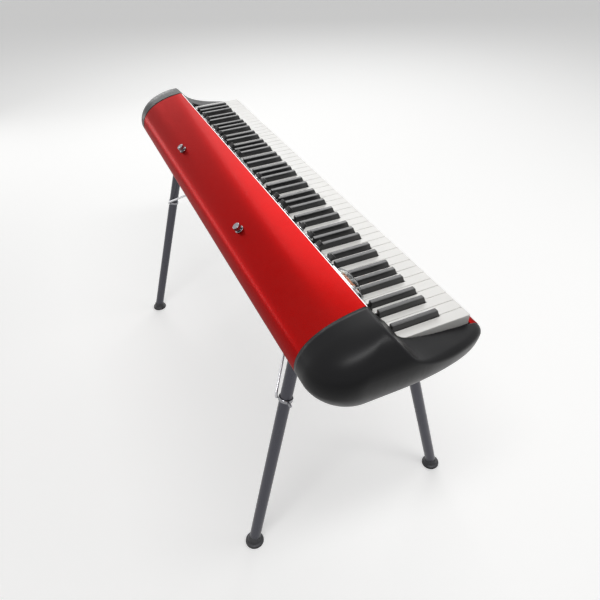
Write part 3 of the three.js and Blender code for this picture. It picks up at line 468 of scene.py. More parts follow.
# Each finish: its colour or the setting that holds it, roughness, metallic, grains per metre, the grain's
# depth, the gloss's spread, dust, handling marks, and sockets of the shader with a value of their own
FINISHES = {
    "candy_red": ("red", 0.3, 0.9, 500, 0.02, 0.04, 0.01, 0.0, {
        "Coat Weight": 0.12, "Coat Roughness": 0.14, "Coat IOR": 1.35,
        "Specular Tint": (0.5, 0.01, 0.01, 1.0)}),
    "satin_black": ("case", 0.33, 0.0, 700, 0.14, 0.06, 0.005, 0.06, {"Specular IOR Level": 0.18}),
    "panel_black": ("panel", 0.08, 0.0, 60, 0.01, 0.03, 0.01, 0.12, {
        "Coat Weight": 0.6, "Coat Roughness": 0.03}),
    "white_key": ("white_key", 0.34, 0.0, 260, 0.04, 0.08, 0.0, 0.1, {
        "Coat Weight": 0.12, "Coat Roughness": 0.12}),
    "black_key": ("black_key", 0.32, 0.0, 1400, 0.1, 0.1, 0.01, 0.12, {"Specular IOR Level": 0.75}),
    "knob_black": ("knob", 0.38, 0.0, 1100, 0.1, 0.1, 0.03, 0.1),
    "pointer_white": ((0.8, 0.8, 0.78), 0.5, 0.0, 900, 0.05, 0.05, 0.0, 0.0),
    "chrome": ((0.82, 0.83, 0.85), 0.07, 1.0, 300, 0.01, 0.05, 0.0, 0.1),
    "chrome_dark": ((0.3, 0.3, 0.32), 0.16, 1.0, 600, 0.03, 0.08, 0.02, 0.1),
    "satin_metal": ((0.6, 0.6, 0.62), 0.28, 1.0, 1500, 0.06, 0.1, 0.0, 0.1),
    "trim_metal": ((0.86, 0.86, 0.87), 0.3, 1.0, 1200, 0.03, 0.06, 0.0, 0.05),
    "leg_metal": ("leg", 0.28, 0.9, 900, 0.04, 0.08, 0.01, 0.1),
    "dark_steel": ((0.05, 0.05, 0.055), 0.42, 0.5, 800, 0.14, 0.1, 0.03, 0.05),
    "rubber": ((0.014, 0.014, 0.015), 0.75, 0.0, 1200, 0.3, 0.1, 0.06, 0.0),
    "bare_sheet": ((0.36, 0.37, 0.39), 0.4, 0.9, 500, 0.05, 0.12, 0.04, 0.0),
    "green_board": ((0.02, 0.13, 0.05), 0.35, 0.0, 700, 0.06, 0.1, 0.05, 0.0),
    "ceramic": ((0.66, 0.62, 0.52), 0.6, 0.0, 900, 0.15, 0.1, 0.0, 0.0),
    "button_grey": ((0.32, 0.36, 0.37), 0.22, 0.0, 900, 0.03, 0.05, 0.0, 0.0, {
        "Coat Weight": 0.4, "Coat Roughness": 0.1}),
    "recess_black": ((0.016, 0.016, 0.018), 0.48, 0.0, 1000, 0.2, 0.08, 0.03, 0.0),
    "clear_glass": ((0.95, 0.97, 0.97), 0.02, 0.0, 200, 0.0, 0.01, 0.0, 0.0, {
        "Transmission Weight": 1.0, "IOR": 1.15}),
    "tube_glass": ((0.98, 0.95, 0.92), 0.03, 0.0, 200, 0.0, 0.01, 0.0, 0.0, {
        "Transmission Weight": 1.0, "IOR": 1.2}),
    # Tube plates: dim metal with a painted orange glow, emission standing in for the light that falls on them
    # inside the tube
    "plate_metal": ((0.3, 0.14, 0.08), 0.4, 0.5, 900, 0.1, 0.1, 0.0, 0.0, {
        "Emission Color": (1.0, 0.32, 0.1, 1.0), "Emission Strength": 0.25}),
    "getter": ((0.7, 0.7, 0.72), 0.2, 1.0, 300, 0.05, 0.1, 0.0, 0.0),
    "heater_glow": ((0.9, 0.25, 0.05), 0.5, 0.0, 900, 0.1, 0.05, 0.0, 0.0, {
        "Emission Color": (1.0, 0.3, 0.05, 1.0), "Emission Strength": 6.0}),
}


@functools.cache
def finish(name):
    """The finish of that name: colour with patches of tone and dust, gloss and bumps from the grain."""
    colour, roughness, metallic, grains, depth, spread, dust, handling, *plain = FINISHES[name]
    if isinstance(colour, str):
        colour = getattr(bpy.context.scene.piano_colours, colour)
    made = bpy.data.materials.new(name)
    made.use_nodes = True
    tree = made.node_tree
    shader = tree.nodes["Principled BSDF"]
    for key, value in {"Metallic": metallic, **dict(*plain)}.items():
        shader.inputs[key].default_value = value
    where = node(tree, "TexCoord").outputs["Object"]
    darker = tuple(c * 0.88 for c in colour)
    tone = mixed(tree, noise(tree, where, 8.0, 3.0), (*darker, 1.0), (*colour, 1.0))
    dusty = {"Position": where, "Colour": tone, "Amount": dust}
    shown = node(tree, "Group", dusty, node_tree=dust_group()).outputs["Colour"]
    grain = {"Position": where, "Grains per metre": grains, "Depth": depth}
    grain |= {"Roughness": roughness, "Spread": spread}
    gloss, normal = node(tree, "Group", grain, node_tree=grain_group()).outputs
    smears = node(tree, "Group", {"Position": where, "Amount": handling}, node_tree=handling_group())
    if name == "candy_red":
        shown, normal = flakes(tree, where, shown)
    tree.links.new(shown, shader.inputs["Base Color"])
    total = worked_out(tree, "ADD", gloss, smears.outputs[0], clamp=True)
    tree.links.new(total, shader.inputs["Roughness"])
    tree.links.new(normal, shader.inputs["Normal"])
    return made


def flakes(tree, where, colour):
    """Metal flakes in lacquer: cells of random brightness that scale the colour and tilt the surface."""
    cells = node(tree, "TexVoronoi", {"Vector": where, "Scale": 2600.0})
    bright = node(tree, "SeparateColor", {0: cells.outputs["Color"]})
    lift = node(tree, "MapRange", {"Value": bright.outputs[0], "To Min": 0.85, "To Max": 1.25})
    lit = node(tree, "VectorMath", {0: colour, "Scale": lift.outputs[0]}, operation="SCALE")
    bump = node(tree, "Bump", {"Strength": 0.1, "Distance": 0.0001, "Height": bright.outputs[1]})
    return lit.outputs[0], bump.outputs[0]


# Cover, rail and end caps

BACK_CURVE = np.vstack([bend(CROWN, 800), bend(UNDER, 800)[1:]])[::-1]


def back_at(z):
    """How far back the body reaches at a height."""
    return np.interp(z, BACK_CURVE[:, 1], BACK_CURVE[:, 0])


def back_normal(z):
    """The unit normal (y, z) of the body's back at a height."""
    step = 0.5
    slope = (back_at(z + step) - back_at(z - step)) / (2 * step)
    size = np.sqrt(1 + slope**2)
    return 1 / size, -slope / size


def follow_back(points):
    """Points drawn as (x, z, out) set on the body's back: y is its line, moved out along its normal."""
    x, z, out = np.moveaxis(points, -1, 0)
    normal_y, normal_z = back_normal(z)
    return np.stack([x, back_at(z) + out * normal_y, z + out * normal_z], -1)


def cover_inside(rows, wall):
    """The cover's inner line: each row moved in along its normal, or level at the openings' heights."""
    y, z = rows.T
    along = unit(np.gradient(rows, axis=0))
    inside = rows + wall * along[:, ::-1] * [1, -1]
    inside[[0, -1], 0] = y[[0, -1]]
    level = np.column_stack([np.interp(z, inside[::-1, 1], inside[::-1, 0]), z])
    share = ramp(z, BODY_BOTTOM + 4, BODY_BOTTOM + 8) * (1 - ramp(z, RECESS_HIGH + 5, RECESS_HIGH + 25))
    return inside + share[:, None] * (level - inside)


def cheek_line():
    """The cheek's line in (y, z): a straight slope, a hollow bend, a flat run and the nose's bend.

    Its corners are shares of the run to the front and of the fall from the crest."""
    hollow_shares = [(0.13, 0.381), (0.186, 0.546), (0.288, 0.66), (0.521, 0.732)]
    nose_shares = [(0.87, 0.814), (0.949, 0.835), (0.991, 0.887), (1, 1)]
    shares = np.vstack([(0, 0), bend(hollow_shares, 120), bend(nose_shares, 80)])[::-1]
    return (CREST_Y, BODY_TOP) - shares * (CREST_Y - BODY_FRONT, BODY_TOP - KEY_TOP + 35)


CHEEK = cheek_line()


def cheek_height(y):
    """Height of the cheek's line at a depth."""
    return np.interp(y, CHEEK[:, 0], CHEEK[:, 1])


def below_widest(z):
    """0 at the widest line and 1 at the underside, with the curve of a quarter round between them."""
    share = np.clip((WIDEST_Z - z) / (WIDEST_Z - BODY_BOTTOM), 0, 0.9999)
    return 1 - np.sqrt(1 - share**2)


def form_value(e, y, z):
    """Below 0 inside the cap's rounded form and above 0 outside it.

    At each height the plan is a quarter ellipse at the back corner, a straight side and a long quarter
    ellipse to the nose. The reach loses a quarter round at the top and draws in below the widest line."""
    below = below_widest(z)
    above = np.clip(z - BODY_TOP + CAP_ROUND, 0, CAP_ROUND - 0.001)
    reach = CAP_REACH - (CAP_ROUND - np.sqrt(CAP_ROUND**2 - above**2)) - CAP_TUCK * below
    front, back, side = BODY_FRONT + NOSE_TUCK * below, back_at(z), 8
    corner = WAIST_Y + (back - WAIST_Y) * 0.49
    behind = np.hypot(np.maximum(e + side, 0) / (reach + side), np.maximum(y - corner, 0) / (back - corner))
    before = np.hypot(np.maximum(e, 0) / reach, (WAIST_Y - y) / (WAIST_Y - front))
    return np.where(y < WAIST_Y, before, behind) - 1


def cheek_value(e, y, z):
    """Above 0 in the open air over the cheek."""
    return z - cheek_height(y) - np.maximum(y - CREST_Y, 0) * 1.3


def in_millimetres(value, e, y, z):
    """A value divided by its steepest slope, which makes it about a distance."""
    h = 0.3
    slopes = [
        (value(e + h, y, z) - value(e - h, y, z)) / (2 * h),
        (value(e, y + h, z) - value(e, y - h, z)) / (2 * h),
        (value(e, y, z + h) - value(e, y, z - h)) / (2 * h),
    ]
    return value(e, y, z) / np.maximum(np.sqrt(sum(s**2 for s in slopes)), 1e-4)


def cap_value(e, y, z, sizes):
    """The cap's surface is where this is 0: form and cheek joined by a crease that widens to the front."""
    widening = (sizes.crease_at_front - sizes.crease_at_crest) / MM
    crease = sizes.crease_at_crest / MM + widening * ramp(-y, -15, 90)
    joined = smooth_max(in_millimetres(form_value, e, y, z), in_millimetres(cheek_value, e, y, z), crease)
    joined = smooth_max(joined, z - BODY_TOP, 0.5)
    joined = smooth_max(joined, BODY_BOTTOM - z, 5.0)
    before_panel = PANEL_FOOT[1] - y
    walled = smooth_max(joined, CHEEK_E - e, 4.0 * ramp(before_panel, 0, 10))
    return np.where((e >= CHEEK_E) & (before_panel > 0), walled, joined)


def cast(e, angle, sizes):
    """Where rays in the plane of one e meet the cap's surface, found by halving; their start moves with e."""
    out = np.maximum(e - CHEEK_E - 0.1, 0) / DRIFT_RUN
    start_y, start_z = HUB_Y + DRIFT_Y * out, HUB_Z + DRIFT_Z * out
    low = np.zeros(np.broadcast(e, angle).shape)
    high = low + RAY_REACH
    for _ in range(28):
        middle = (low + high) / 2
        y, z = start_y + middle * np.cos(angle), start_z + middle * np.sin(angle)
        outside = cap_value(e, y, z, sizes) > 0
        high, low = np.where(outside, middle, high), np.where(outside, low, middle)
    y, z = start_y + low * np.cos(angle), start_z + low * np.sin(angle)
    return np.stack([KEYBOARD_HALF + e + 0 * low, y, z], -1)


def spread_angles(low, high, count, sizes):
    """Angles whose rays meet the section beside the keys at even steps, closer where it bends."""
    trial = np.linspace(low, high, 900)
    steps = np.diff(cast(np.array(2.6), trial, sizes)[:, 1:], axis=0)
    heading = np.unwrap(np.arctan2(steps[:, 1], steps[:, 0]))
    turning = np.abs(np.diff(heading, append=heading[-1]))
    total = np.concatenate([[0], np.cumsum(np.linalg.norm(steps, axis=1) + 14 * turning)])
    return np.interp(np.linspace(0, total[-1], count), total, trial)


def cap_patches(sizes):
    """The right cap: rays round each section from the cover's end outwards, and the wall by the keys."""
    foot_y = PANEL_FOOT[1]
    top = math.atan2(cheek_height(foot_y) - HUB_Z, foot_y - HUB_Y)
    bottom = math.atan2(BODY_BOTTOM - HUB_Z, foot_y - HUB_Y)
    back = spread_angles(bottom, top, 170, sizes)
    front = spread_angles(top, bottom + 2 * math.pi, 130, sizes)
    rim = SKIN_E + 4.5 * (1 - np.cos(quarter(10)))
    side = rim[-1] + (CAP_REACH - 0.02 - rim[-1]) * np.sin(quarter(60))[1:]
    skin = cast(np.concatenate([rim, side])[None, :], np.concatenate([back, front[1:]])[:, None], sizes)
    roof_e = np.concatenate([np.linspace(-38, -8, 5), np.linspace(-7, 1.4, 8)])[None, :]
    roof = np.concatenate([cast(roof_e, back[:, None], sizes), skin[: len(back), :1]], 1)
    roof[:, :, 1] = np.maximum(roof[:, :, 1], foot_y)
    edge = skin[len(back) - 1:, 0]
    line = np.linspace((edge[0, 0], foot_y, edge[0, 2]), (edge[0, 0], foot_y, edge[-1, 2]), len(edge))
    wall = np.linspace(edge, line, 5, axis=1)
    last = skin[:, -1]
    hub = (last[0, 0], last[:, 1].mean(), last[:, 2].mean())
    fan = (np.vstack([last, hub]), [[i, i + 1, len(last)] for i in range(len(last) - 1)])
    inside = (KEYBOARD_HALF + 20, HUB_Y, HUB_Z + 5)
    return [outward(patch, inside) for patch in (grid(skin), grid(roof), grid(wall), fan)]


# Properties


def length(name, description, default):
    """A size in metres."""
    return FloatProperty(name=name, description=description, default=default, min=0.0, unit="LENGTH",
        precision=5)


def colour(name, description, default):
    """A colour."""
    return FloatVectorProperty(name=name, description=description, default=default, subtype="COLOR",
        min=0.0, max=1.0)


def amount(name, description, default, least=0.0):
    """A number from a least value up."""
    return FloatProperty(name=name, description=description, default=default, min=least)


class PianoBodySizes(bpy.types.PropertyGroup):
    """Sizes of the cover, the rail and the end caps"""

    wall: length("Wall", "Thickness of the cover and the mouldings", 0.003)
    cover_edge: length("Cover edge", "Rounding of the cover's edges", 0.0011)
    crease_at_crest: length("Crease at the crest", "Softness of the cap's crease beside the cover", 0.004)
    crease_at_front: length("Crease at the front", "Softness of the cheek's top edge", 0.014)
    trim_round: length("Trim rounding", "Rounding of the strip above the panel", 0.0012)


class PianoKeySizes(bpy.types.PropertyGroup):
    """Sizes of the keys' edges"""

    white_edge: length("White edge", "Rounding of a white key's top edge", 0.0009)
    white_corner: length("White corner", "Rounding of a white key's corners", 0.0015)
    lip_depth: length("Lip depth", "How far a white key's front lies under its lip", 0.0016)
    lip_height: length("Lip height", "Thickness of a white key's lip", 0.0042)
    black_edge: length("Black edge", "Rounding of a black key's top", 0.0014)


class PianoControlSizes(bpy.types.PropertyGroup):
    """Sizes of the controls"""

    knob_ribs: IntProperty(name="Knob ribs", description="Ribs round a knob's grip", default=20, min=0)
    rib_depth: length("Rib depth", "Depth of a knob's ribs", 0.00035)
    pointer_width: length("Pointer width", "Width of a knob's white line", 0.001)
    screw_ribs: IntProperty(name="Screw ribs", description="Ribs round a thumb screw's head", default=36,
        min=0)


class PianoColours(bpy.types.PropertyGroup):
    """Colours of the finishes"""

    red: colour("Cover red", "Colour of the cover and the front rail", (0.34, 0.0027, 0.002))
    case: colour("Case black", "Colour of the end caps", (0.005, 0.005, 0.006))
    panel: colour("Panel black", "Colour of the control panel", (0.006, 0.006, 0.007))
    white_key: colour("White keys", "Colour of the white keys", (0.86, 0.85, 0.82))
    black_key: colour("Black keys", "Colour of the black keys", (0.006, 0.006, 0.007))
    knob: colour("Knobs", "Colour of the knobs", (0.006, 0.006, 0.007))
    leg: colour("Legs", "Colour of the leg tubes", (0.085, 0.085, 0.1))
    floor: colour("Floor", "Colour of the floor", (0.78, 0.78, 0.77))


class PianoStageSettings(bpy.types.PropertyGroup):
    """Lamps and camera"""

    main_power: amount("Main lamp", "Power of the soft lamp above in watts", 29.0)
    far_power: amount("Far lamp", "Power of the lamp beyond the far end in watts", 46.0)
    fill_power: amount("Fill lamp", "Power of the lamp in front in watts", 11.0)
    low_power: amount("Low lamp", "Power of the low lamp behind in watts", 5.5)
    end_power: amount("End lamp", "Power of the small lamp beyond the far end in watts", 2.6)
    sky: amount("Sky", "Strength of the light from all round", 0.15)
    lens: amount("Lens", "Focal length in millimetres on a 36 mm sensor", 32.97, 1.0)


class BuildCover(bpy.types.Operator):
    """Cover over the back: its two bends carried along x, with openings for sockets and the mains inlet"""

    bl_idname = "piano.build_cover"
    bl_label = "Cover"

    def execute(self, context):
        sizes = context.scene.piano_body
        centre_y, centre_z, row_gap, side_gap = 40, 600, 1.5, 5
        rows = np.vstack([bend(CROWN, 70), bend(UNDER, 60)[1:]])
        marks = [RECESS_LOW, RECESS_HIGH]
        rows = rows[np.abs(rows[:, 1:] - marks).min(1) > row_gap]
        rows = np.vstack([rows, [(back_at(mark), mark) for mark in marks]])
        rows = rows[np.argsort(-np.arctan2(rows[:, 1] - centre_z, rows[:, 0] - centre_y))]
        inner = cover_inside(rows, sizes.wall / MM)
        boxes = [solid_box("jack_plate"), solid_box("power_inlet")]
        openings = [(low[0] - GAP, high[0] + GAP) for low, high in boxes]
        sides, edges = np.linspace(-COVER_HALF, COVER_HALF, 61), np.ravel(openings)
        sides = np.sort(np.concatenate([sides[np.abs(sides[:, None] - edges).min(1) > side_gap], edges]))
        points = np.zeros((2, len(rows), len(sides), 3))
        points[..., 0], points[0, ..., 1:], points[1, ..., 1:] = sides, rows[:, None], inner[:, None]
        x, _, z = np.moveaxis(points[0, :-1, :-1] + points[0, 1:, 1:], -1, 0) / 2
        level = (z > RECESS_LOW) & (z < RECESS_HIGH)
        keep = np.ones(level.shape, bool)
        for low_x, high_x in openings:
            keep &= ~(level & (x > low_x) & (x < high_x))
        patches = [sheet(points[0], points[1], keep)]
        piece("cover", patches, CASE, "red_cover", "candy_red", "top_cover", bevel=sizes.cover_edge / MM)
        return {"FINISHED"}


class BuildCaps(bpy.types.Operator):
    """Moulded end caps with their cheeks"""

    bl_idname = "piano.build_caps"
    bl_label = "End caps"

    def execute(self, context):
        sizes = context.scene.piano_body
        right = cap_patches(sizes)
        for side, patches in (("right", right), ("left", moved(right, MIRRORED))):
            piece(
                f"{side}_cap", patches, CASE, "cap_moulding", "satin_black", f"{side}_end_cap",
                sharp=50, wall=sizes.wall / MM, clean=False)
        return {"FINISHED"}


def rail_line(low, high, depth):
    """The rail's line in (y, z), at a depth under its face: flat top, round edge and the nose's tuck."""
    edge_round = 18
    top, foot, front = high[2] - depth, low[2] + depth, BODY_FRONT + depth
    corner, turn = high[2] - edge_round, edge_round - depth
    face = front + NOSE_TUCK * below_widest(corner)
    edge = bend([(face + turn, top), (face + turn / 3, top), (face, top - turn / 3), (face, corner)], 12)
    z = foot + (corner - foot) * np.cos(quarter(24))[1:]
    lower = np.column_stack([front + NOSE_TUCK * below_widest(z), z])
    return np.vstack([[(high[1], top)], edge, lower, [(high[1], foot)]])


class BuildRail(bpy.types.Operator):
    """Front rail and the strip above the panel: closed sections carried along x"""

    bl_idname = "piano.build_rail"
    bl_label = "Front rail and trim"

    def execute(self, context):
        sizes = context.scene.piano_body
        low, high = solid_box("front_rail")
        loop = np.vstack([rail_line(low, high, 0), rail_line(low, high, sizes.wall / MM)[::-1]])
        piece("rail", along_x(loop, low[0], high[0]), CASE, "red_cover", "candy_red", "front_rail",
            bevel=0.7)
        strip = oblong(0.3, 4.3, -3.0, 1.0, sizes.trim_round / MM, 5)
        loop = strip @ [SLOPE_DOWN[1:], SLOPE_OUT[1:]] + PANEL_TOP[1:]
        piece("trim", along_x(loop, -COVER_HALF, COVER_HALF), CASE, "bright_trim", "trim_metal",
            "trim_strip")
        return {"FINISHED"}


# Keys


def black_after(i):
    """Middle of the black key after white key i, or None."""
    letter = LETTERS[i % 7]
    if i < 0 or i + 1 >= WHITE_COUNT or letter not in BLACK_LEAN:
        return None
    return (i + 1) * KEY_PITCH + BLACK_LEAN[letter] - KEYBOARD_HALF


def keys_of(bank):
    """White keys of a bank: two octaves, with the odd keys in the end banks."""
    return [i for i in range(WHITE_COUNT) if min(4, max(1, math.ceil((1 + (i - 2) // 7) / 2))) == bank]


def white_outline(i):
    """Plan of white key i, anticlockwise, with its notches for the black keys."""
    low = i * KEY_PITCH + KEY_GAP / 2 - KEYBOARD_HALF
    high = low + KEY_PITCH - KEY_GAP
    notch, back, reach = KEY_FRONT + BLACK_SETBACK - 1, KEY_BACK - 4, BLACK_HALF + 1
    before, after = black_after(i - 1), black_after(i)
    right, left = [(high, back)], [(low, back)]
    if after is not None:
        right = [(high, notch), (after - reach, notch), (after - reach, back)]
    if before is not None:
        left = [(before + reach, back), (before + reach, notch), (low, notch)]
    return np.array([(low, KEY_FRONT), (high, KEY_FRONT), *right, *left], float)


def white_key(i, sizes):
    """A white key: its plan with rounded corners, a lip at the front and a quarter round along the top."""
    outline = rounded(white_outline(i), sizes.white_corner / MM)
    edge, lip = sizes.white_edge / MM, KEY_TOP - sizes.lip_height / MM
    behind = outline.copy()
    behind[:, 1] += sizes.lip_depth / MM * (outline[:, 1] < KEY_FRONT + 1.5)
    lower = [(behind, KEY_UNDER), (behind, lip - 0.8), (outline, lip), (outline, KEY_TOP - edge)]
    return block(outline, KEY_UNDER, KEY_TOP, edge, 4, lower)


def black_key(middle, sizes):
    """A black key: rounded rectangles stacked up, narrower and further back to the top, and its low tail."""
    front, edge = KEY_FRONT + BLACK_SETBACK, sizes.black_edge / MM
    back, turns = front + BLACK_LENGTH, quarter(7)[1:]
    straight = [KEY_UNDER - KEY_TOP, 0, *np.linspace(0.5, BLACK_RISE - edge, 5)]
    heights = [*straight, *(BLACK_RISE - edge * (1 - np.sin(turns)))]
    inward = [*[0] * len(straight), *(edge * (1 - np.cos(turns)))]
    rings = []
    for height, drawn in zip(heights, inward):
        up = max(height, 0) / BLACK_RISE
        half = BLACK_HALF * (1 - 0.17 * up) - drawn
        low_y, high_y = front + 4 * up + drawn, back - 0.6 * up - drawn
        ring = oblong(middle - half, middle + half, low_y, high_y, 1.7 - 0.3 * drawn, 4)
        rings.append((ring, KEY_TOP + height))
    tail = oblong(middle - BLACK_HALF, middle + BLACK_HALF, back - 0.3, KEY_BACK - 9.6)
    return stacked(rings) + block(tail, KEY_UNDER, KEY_TOP - 3, 0.5)


class BuildWhiteKeys(bpy.types.Operator):
    """White keys in their banks"""

    bl_idname = "piano.build_white_keys"
    bl_label = "White keys"

    def execute(self, context):
        for bank in BANKS:
            patches = [patch for i in keys_of(bank) for patch in white_key(i, context.scene.piano_keys)]
            low, high = solid_box(f"white_keys_{bank}")
            patches += block(oblong(low[0], high[0], KEY_BACK - 8, KEY_BACK), KEY_UNDER, KEY_TOP - 0.4, 0.5)
            piece(
                f"white_bank_{bank}", patches, f"white_key_bank_{bank}", "white_key", "white_key",
                f"white_keys_{bank}")
        return {"FINISHED"}


class BuildBlackKeys(bpy.types.Operator):
    """Black keys in their banks, each hung from the bank's bar"""

    bl_idname = "piano.build_black_keys"
    bl_label = "Black keys"

    def execute(self, context):
        bar = KEY_BACK - 26, KEY_BACK - 18
        for bank in BANKS:
            middles = [black_after(i) for i in keys_of(bank) if black_after(i) is not None]
            patches = [patch for middle in middles for patch in black_key(middle, context.scene.piano_keys)]
            outline = oblong(middles[0] - BLACK_HALF, middles[-1] + BLACK_HALF, *bar)
            patches += block(outline, KEY_TOP + 1.2, KEY_TOP + 5.2, 0.5)
            for middle in middles:
                neck = oblong(middle - BLACK_HALF, middle + BLACK_HALF, *bar)
                patches += block(neck, KEY_TOP - 3.2, KEY_TOP + 2, 0.3)
            piece(
                f"black_bank_{bank}", patches, f"black_key_bank_{bank}", "black_key", "black_key",
                f"black_keys_{bank}")
        return {"FINISHED"}


# Controls, drawn as profiles of (radius, height) in millimetres

KNOB_GRIP = np.vstack([
    [(0, 2.1), (6.5, 2.1), (6.65, 2.7), (6.5, 3.7)], np.linspace((6.45, 4.1), (6.1, 12.5), 7),
    arc((5.1, 13.0), 0.95, 0, 90, 7), [(4.7, 13.85), (4.3, 13.5), (0, 13.3)],
])
KNOB_RING = np.vstack([
    [(0, 0.35), (7.3, 0.35), (7.5, 0.7)], arc((6.9, 1.8), 0.6, 0, 90, 7),
    [(6.7, 2.4), (6.5, 2.2), (0, 2.2)],
])
SCREW = [
    (0, 0.3), (9.2, 0.3), (9.5, 0.6), (9.5, 1.4), (9.1, 1.8), (5.0, 1.8), (4.5, 2.1), (4.5, 4.4),
    (4.9, 4.8), (7.3, 4.8), (7.8, 5.2), (8.0, 6.0), (8.0, 11.8), (7.8, 12.8), (7.1, 13.5), (5.8, 13.8),
    (5.2, 13.6), (0, 13.4),
]
TUBE_GLASS = np.vstack([
    [(0, 0), (1.2, 0.2), (1.9, 0.9)], bend([(2.0, 2.2), (2.4, 5.2), (9.9, 4.2), (10, 11.0)], 16),
    [(10, 30), (10, 45), (9.4, 46), (0, 46)],
])
TUBE_SEAT = [(0, 0), (10.6, 0), (11, 0.4), (11, 4.6), (10.6, 5), (0, 5)]
ROD_TURN = math.degrees(0.6)


def panel_block(x, s, half_x, half_s, low, high, corner, edge):
    """A rounded block on the panel."""
    return block(oblong_at(x, s, half_x, half_s, corner, 4), low, high, edge, 4)


class BuildKnobs(bpy.types.Operator):
    """Knobs turned round their own axes: each a ribbed grip, a bright ring at its foot and a white line"""

    bl_idname = "piano.build_knobs"
    bl_label = "Knobs"

    def execute(self, context):
        sizes = context.scene.piano_controls
        half = sizes.pointer_width / MM / 2
        for number in [f"{i:02d}" for i in range(1, 17)]:
            x, body = middle_x(f"knob_{number}"), f"dial_{number}"
            at = ROW + x * X_AXIS
            grip = turned(KNOB_GRIP, at, SLOPE_OUT, 144, sizes.knob_ribs, sizes.rib_depth / MM, (4.0, 12.6))
            piece(f"knob_grip_{number}", [grip], body, "knob_black", "knob_black", f"knob_{number}")
            ring = turned(KNOB_RING, at, SLOPE_OUT, 64)
            piece(f"knob_ring_{number}", [ring], body, "chrome_trim", "chrome")
            lean = math.radians(-40 + 67 * (int(number) * 5 % 7) / 3)
            along = np.array([math.sin(lean), -math.cos(lean)])
            outline = oblong(-half, half, 1.4, 4.8) @ [along[::-1] * [1, -1], along] + [x, ROW_S]
            piece(f"knob_line_{number}", on_panel(block(outline, 13.2, 14.0, 0.15, 2)), body, "",
                "pointer_white")
        return {"FINISHED"}


class BuildButtons(bpy.types.Operator):
    """Row of favourite buttons on its web"""

    bl_idname = "piano.build_buttons"
    bl_label = "Favourite buttons"

    def execute(self, context):
        low, high = solid_box("favourite_buttons")
        middle, pitch, half, count = (low[0] + high[0]) / 2, 12.8, 4.3, 8
        patches = panel_block(middle, ROW_S, (high[0] - low[0]) / 2, 3, -7, -4, 0.5, 0.2)
        for place in np.arange(count) - (count - 1) / 2:
            patches += panel_block(middle + place * pitch, ROW_S, half, half, -5, 3, 1.4, 0.8)
        piece("favourite_row", on_panel(patches), "button_row", "button_grey", "button_grey",
            "favourite_buttons")
        return {"FINISHED"}


class BuildWindow(bpy.types.Operator):
    """Window with its bright rim and domed glass, and the lit tube behind it"""

    bl_idname = "piano.build_window"
    bl_label = "Tube window"

    def execute(self, context):
        low, high = solid_box("window_bezel")
        x, half_x, half_s, rim = (low[0] + high[0]) / 2, (high[0] - low[0]) / 2, 23.0, 6.0
        section = np.vstack([
            [(0, 0.35)], arc((1.6, 1.9), 1.6, 180, 90, 5), [(2.6, 3.5), (3.4, 3.1)],
            arc((rim - 1.1, 2.2), 0.9, 90, 0, 5), [(rim - 0.2, 0.35)],
        ])
        frame_round = grid(ringed(oblong_at(x, ROW_S, half_x, half_s, 7.5, 10), section))
        piece("window_rim", on_panel([frame_round]), CASE, "chrome_trim", "chrome", "window_bezel")
        self.build_dome(x, half_x - rim - 0.5, half_s - rim - 0.5)
        self.build_tube(x - half_x + rim + 3.1)
        return {"FINISHED"}

    def build_dome(self, x, half_x, half_s):
        """The glass rises by sqrt(1 - v^2) across and by (1 - u^4)^0.4 along, both 0 at the rim."""
        u, v = np.meshgrid(-np.cos(np.linspace(0, np.pi, 57)), -np.cos(np.linspace(0, np.pi, 41)),
            indexing="ij")
        rise = 13.6 * np.sqrt(np.clip(1 - v**2, 0, 1)) * np.clip(1 - np.abs(u) ** 4, 0, 1) ** 0.4
        dome = grid(np.stack([x + half_x * u, ROW_S + half_s * v, 0.5 + rise], -1))
        patches = [outward(on_panel([dome])[0], ROW + x * X_AXIS - 20 * SLOPE_OUT)]
        piece("window_dome", patches, CASE, "clear_glass", "clear_glass", "window_glass", wall=1.1,
            clean=False)

    def build_tube(self, low_x):
        """The tube lies along the panel: glass, two plates on four rods, heater, getter and seat."""
        axis_at = ROW - 3 * SLOPE_OUT
        start = axis_at + low_x * X_AXIS
        glass = turned(TUBE_GLASS, start, X_AXIS)
        piece("tube_envelope", [glass], CASE, "tube_glass", "tube_glass", "vacuum_tube")
        lying = [SLOPE_DOWN, SLOPE_OUT, X_AXIS]
        plates = block(oblong_at(0, 0, 5.6, 3.4, 1.6, 5), 14, 39, 0.8)
        plates += [turned(disc(8.2, height, height + 0.9), segments=40) for height in (12.4, 40.4)]
        for x, y in arc((0, 0), 7.2, ROD_TURN, ROD_TURN + 270, 4):
            plates.append(turned(disc(0.45, 0, 33.6), (x, y, 12), segments=10))
        # The plates' finish paints an orange glow on them as emission, in place of the light that falls on
        # them
        piece("tube_plates", moved(plates, lying, start), CASE, "", "plate_metal")
        glowing = [turned(disc(2.6, 38.6, 40.2), segments=24), turned(disc(3.4, 12.0, 13.6), segments=24)]
        glowing += [turned(disc(0.7, 13, 40), (x, 0, 0), segments=10) for x in (-6.6, 6.6)]
        piece("tube_heater", moved(glowing, lying, start), CASE, "", "heater_glow")
        getter = turned([*np.linspace((3.0, 3.9), (8.6, 7.9), 8), (0, 7.9)], segments=40)
        piece("tube_getter", moved([getter], lying, start), CASE, "", "getter")
        seat_x = low_x + 46.3
        seat = turned(TUBE_SEAT, axis_at + seat_x * X_AXIS, X_AXIS)
        bridge = panel_block(seat_x + 2.5, ROW_S, 2.5, 23, -9.3, -3.3, 0.8, 0.5)
        piece("tube_seat", [seat, *on_panel(bridge)], CASE, "ceramic", "ceramic", "tube_socket")


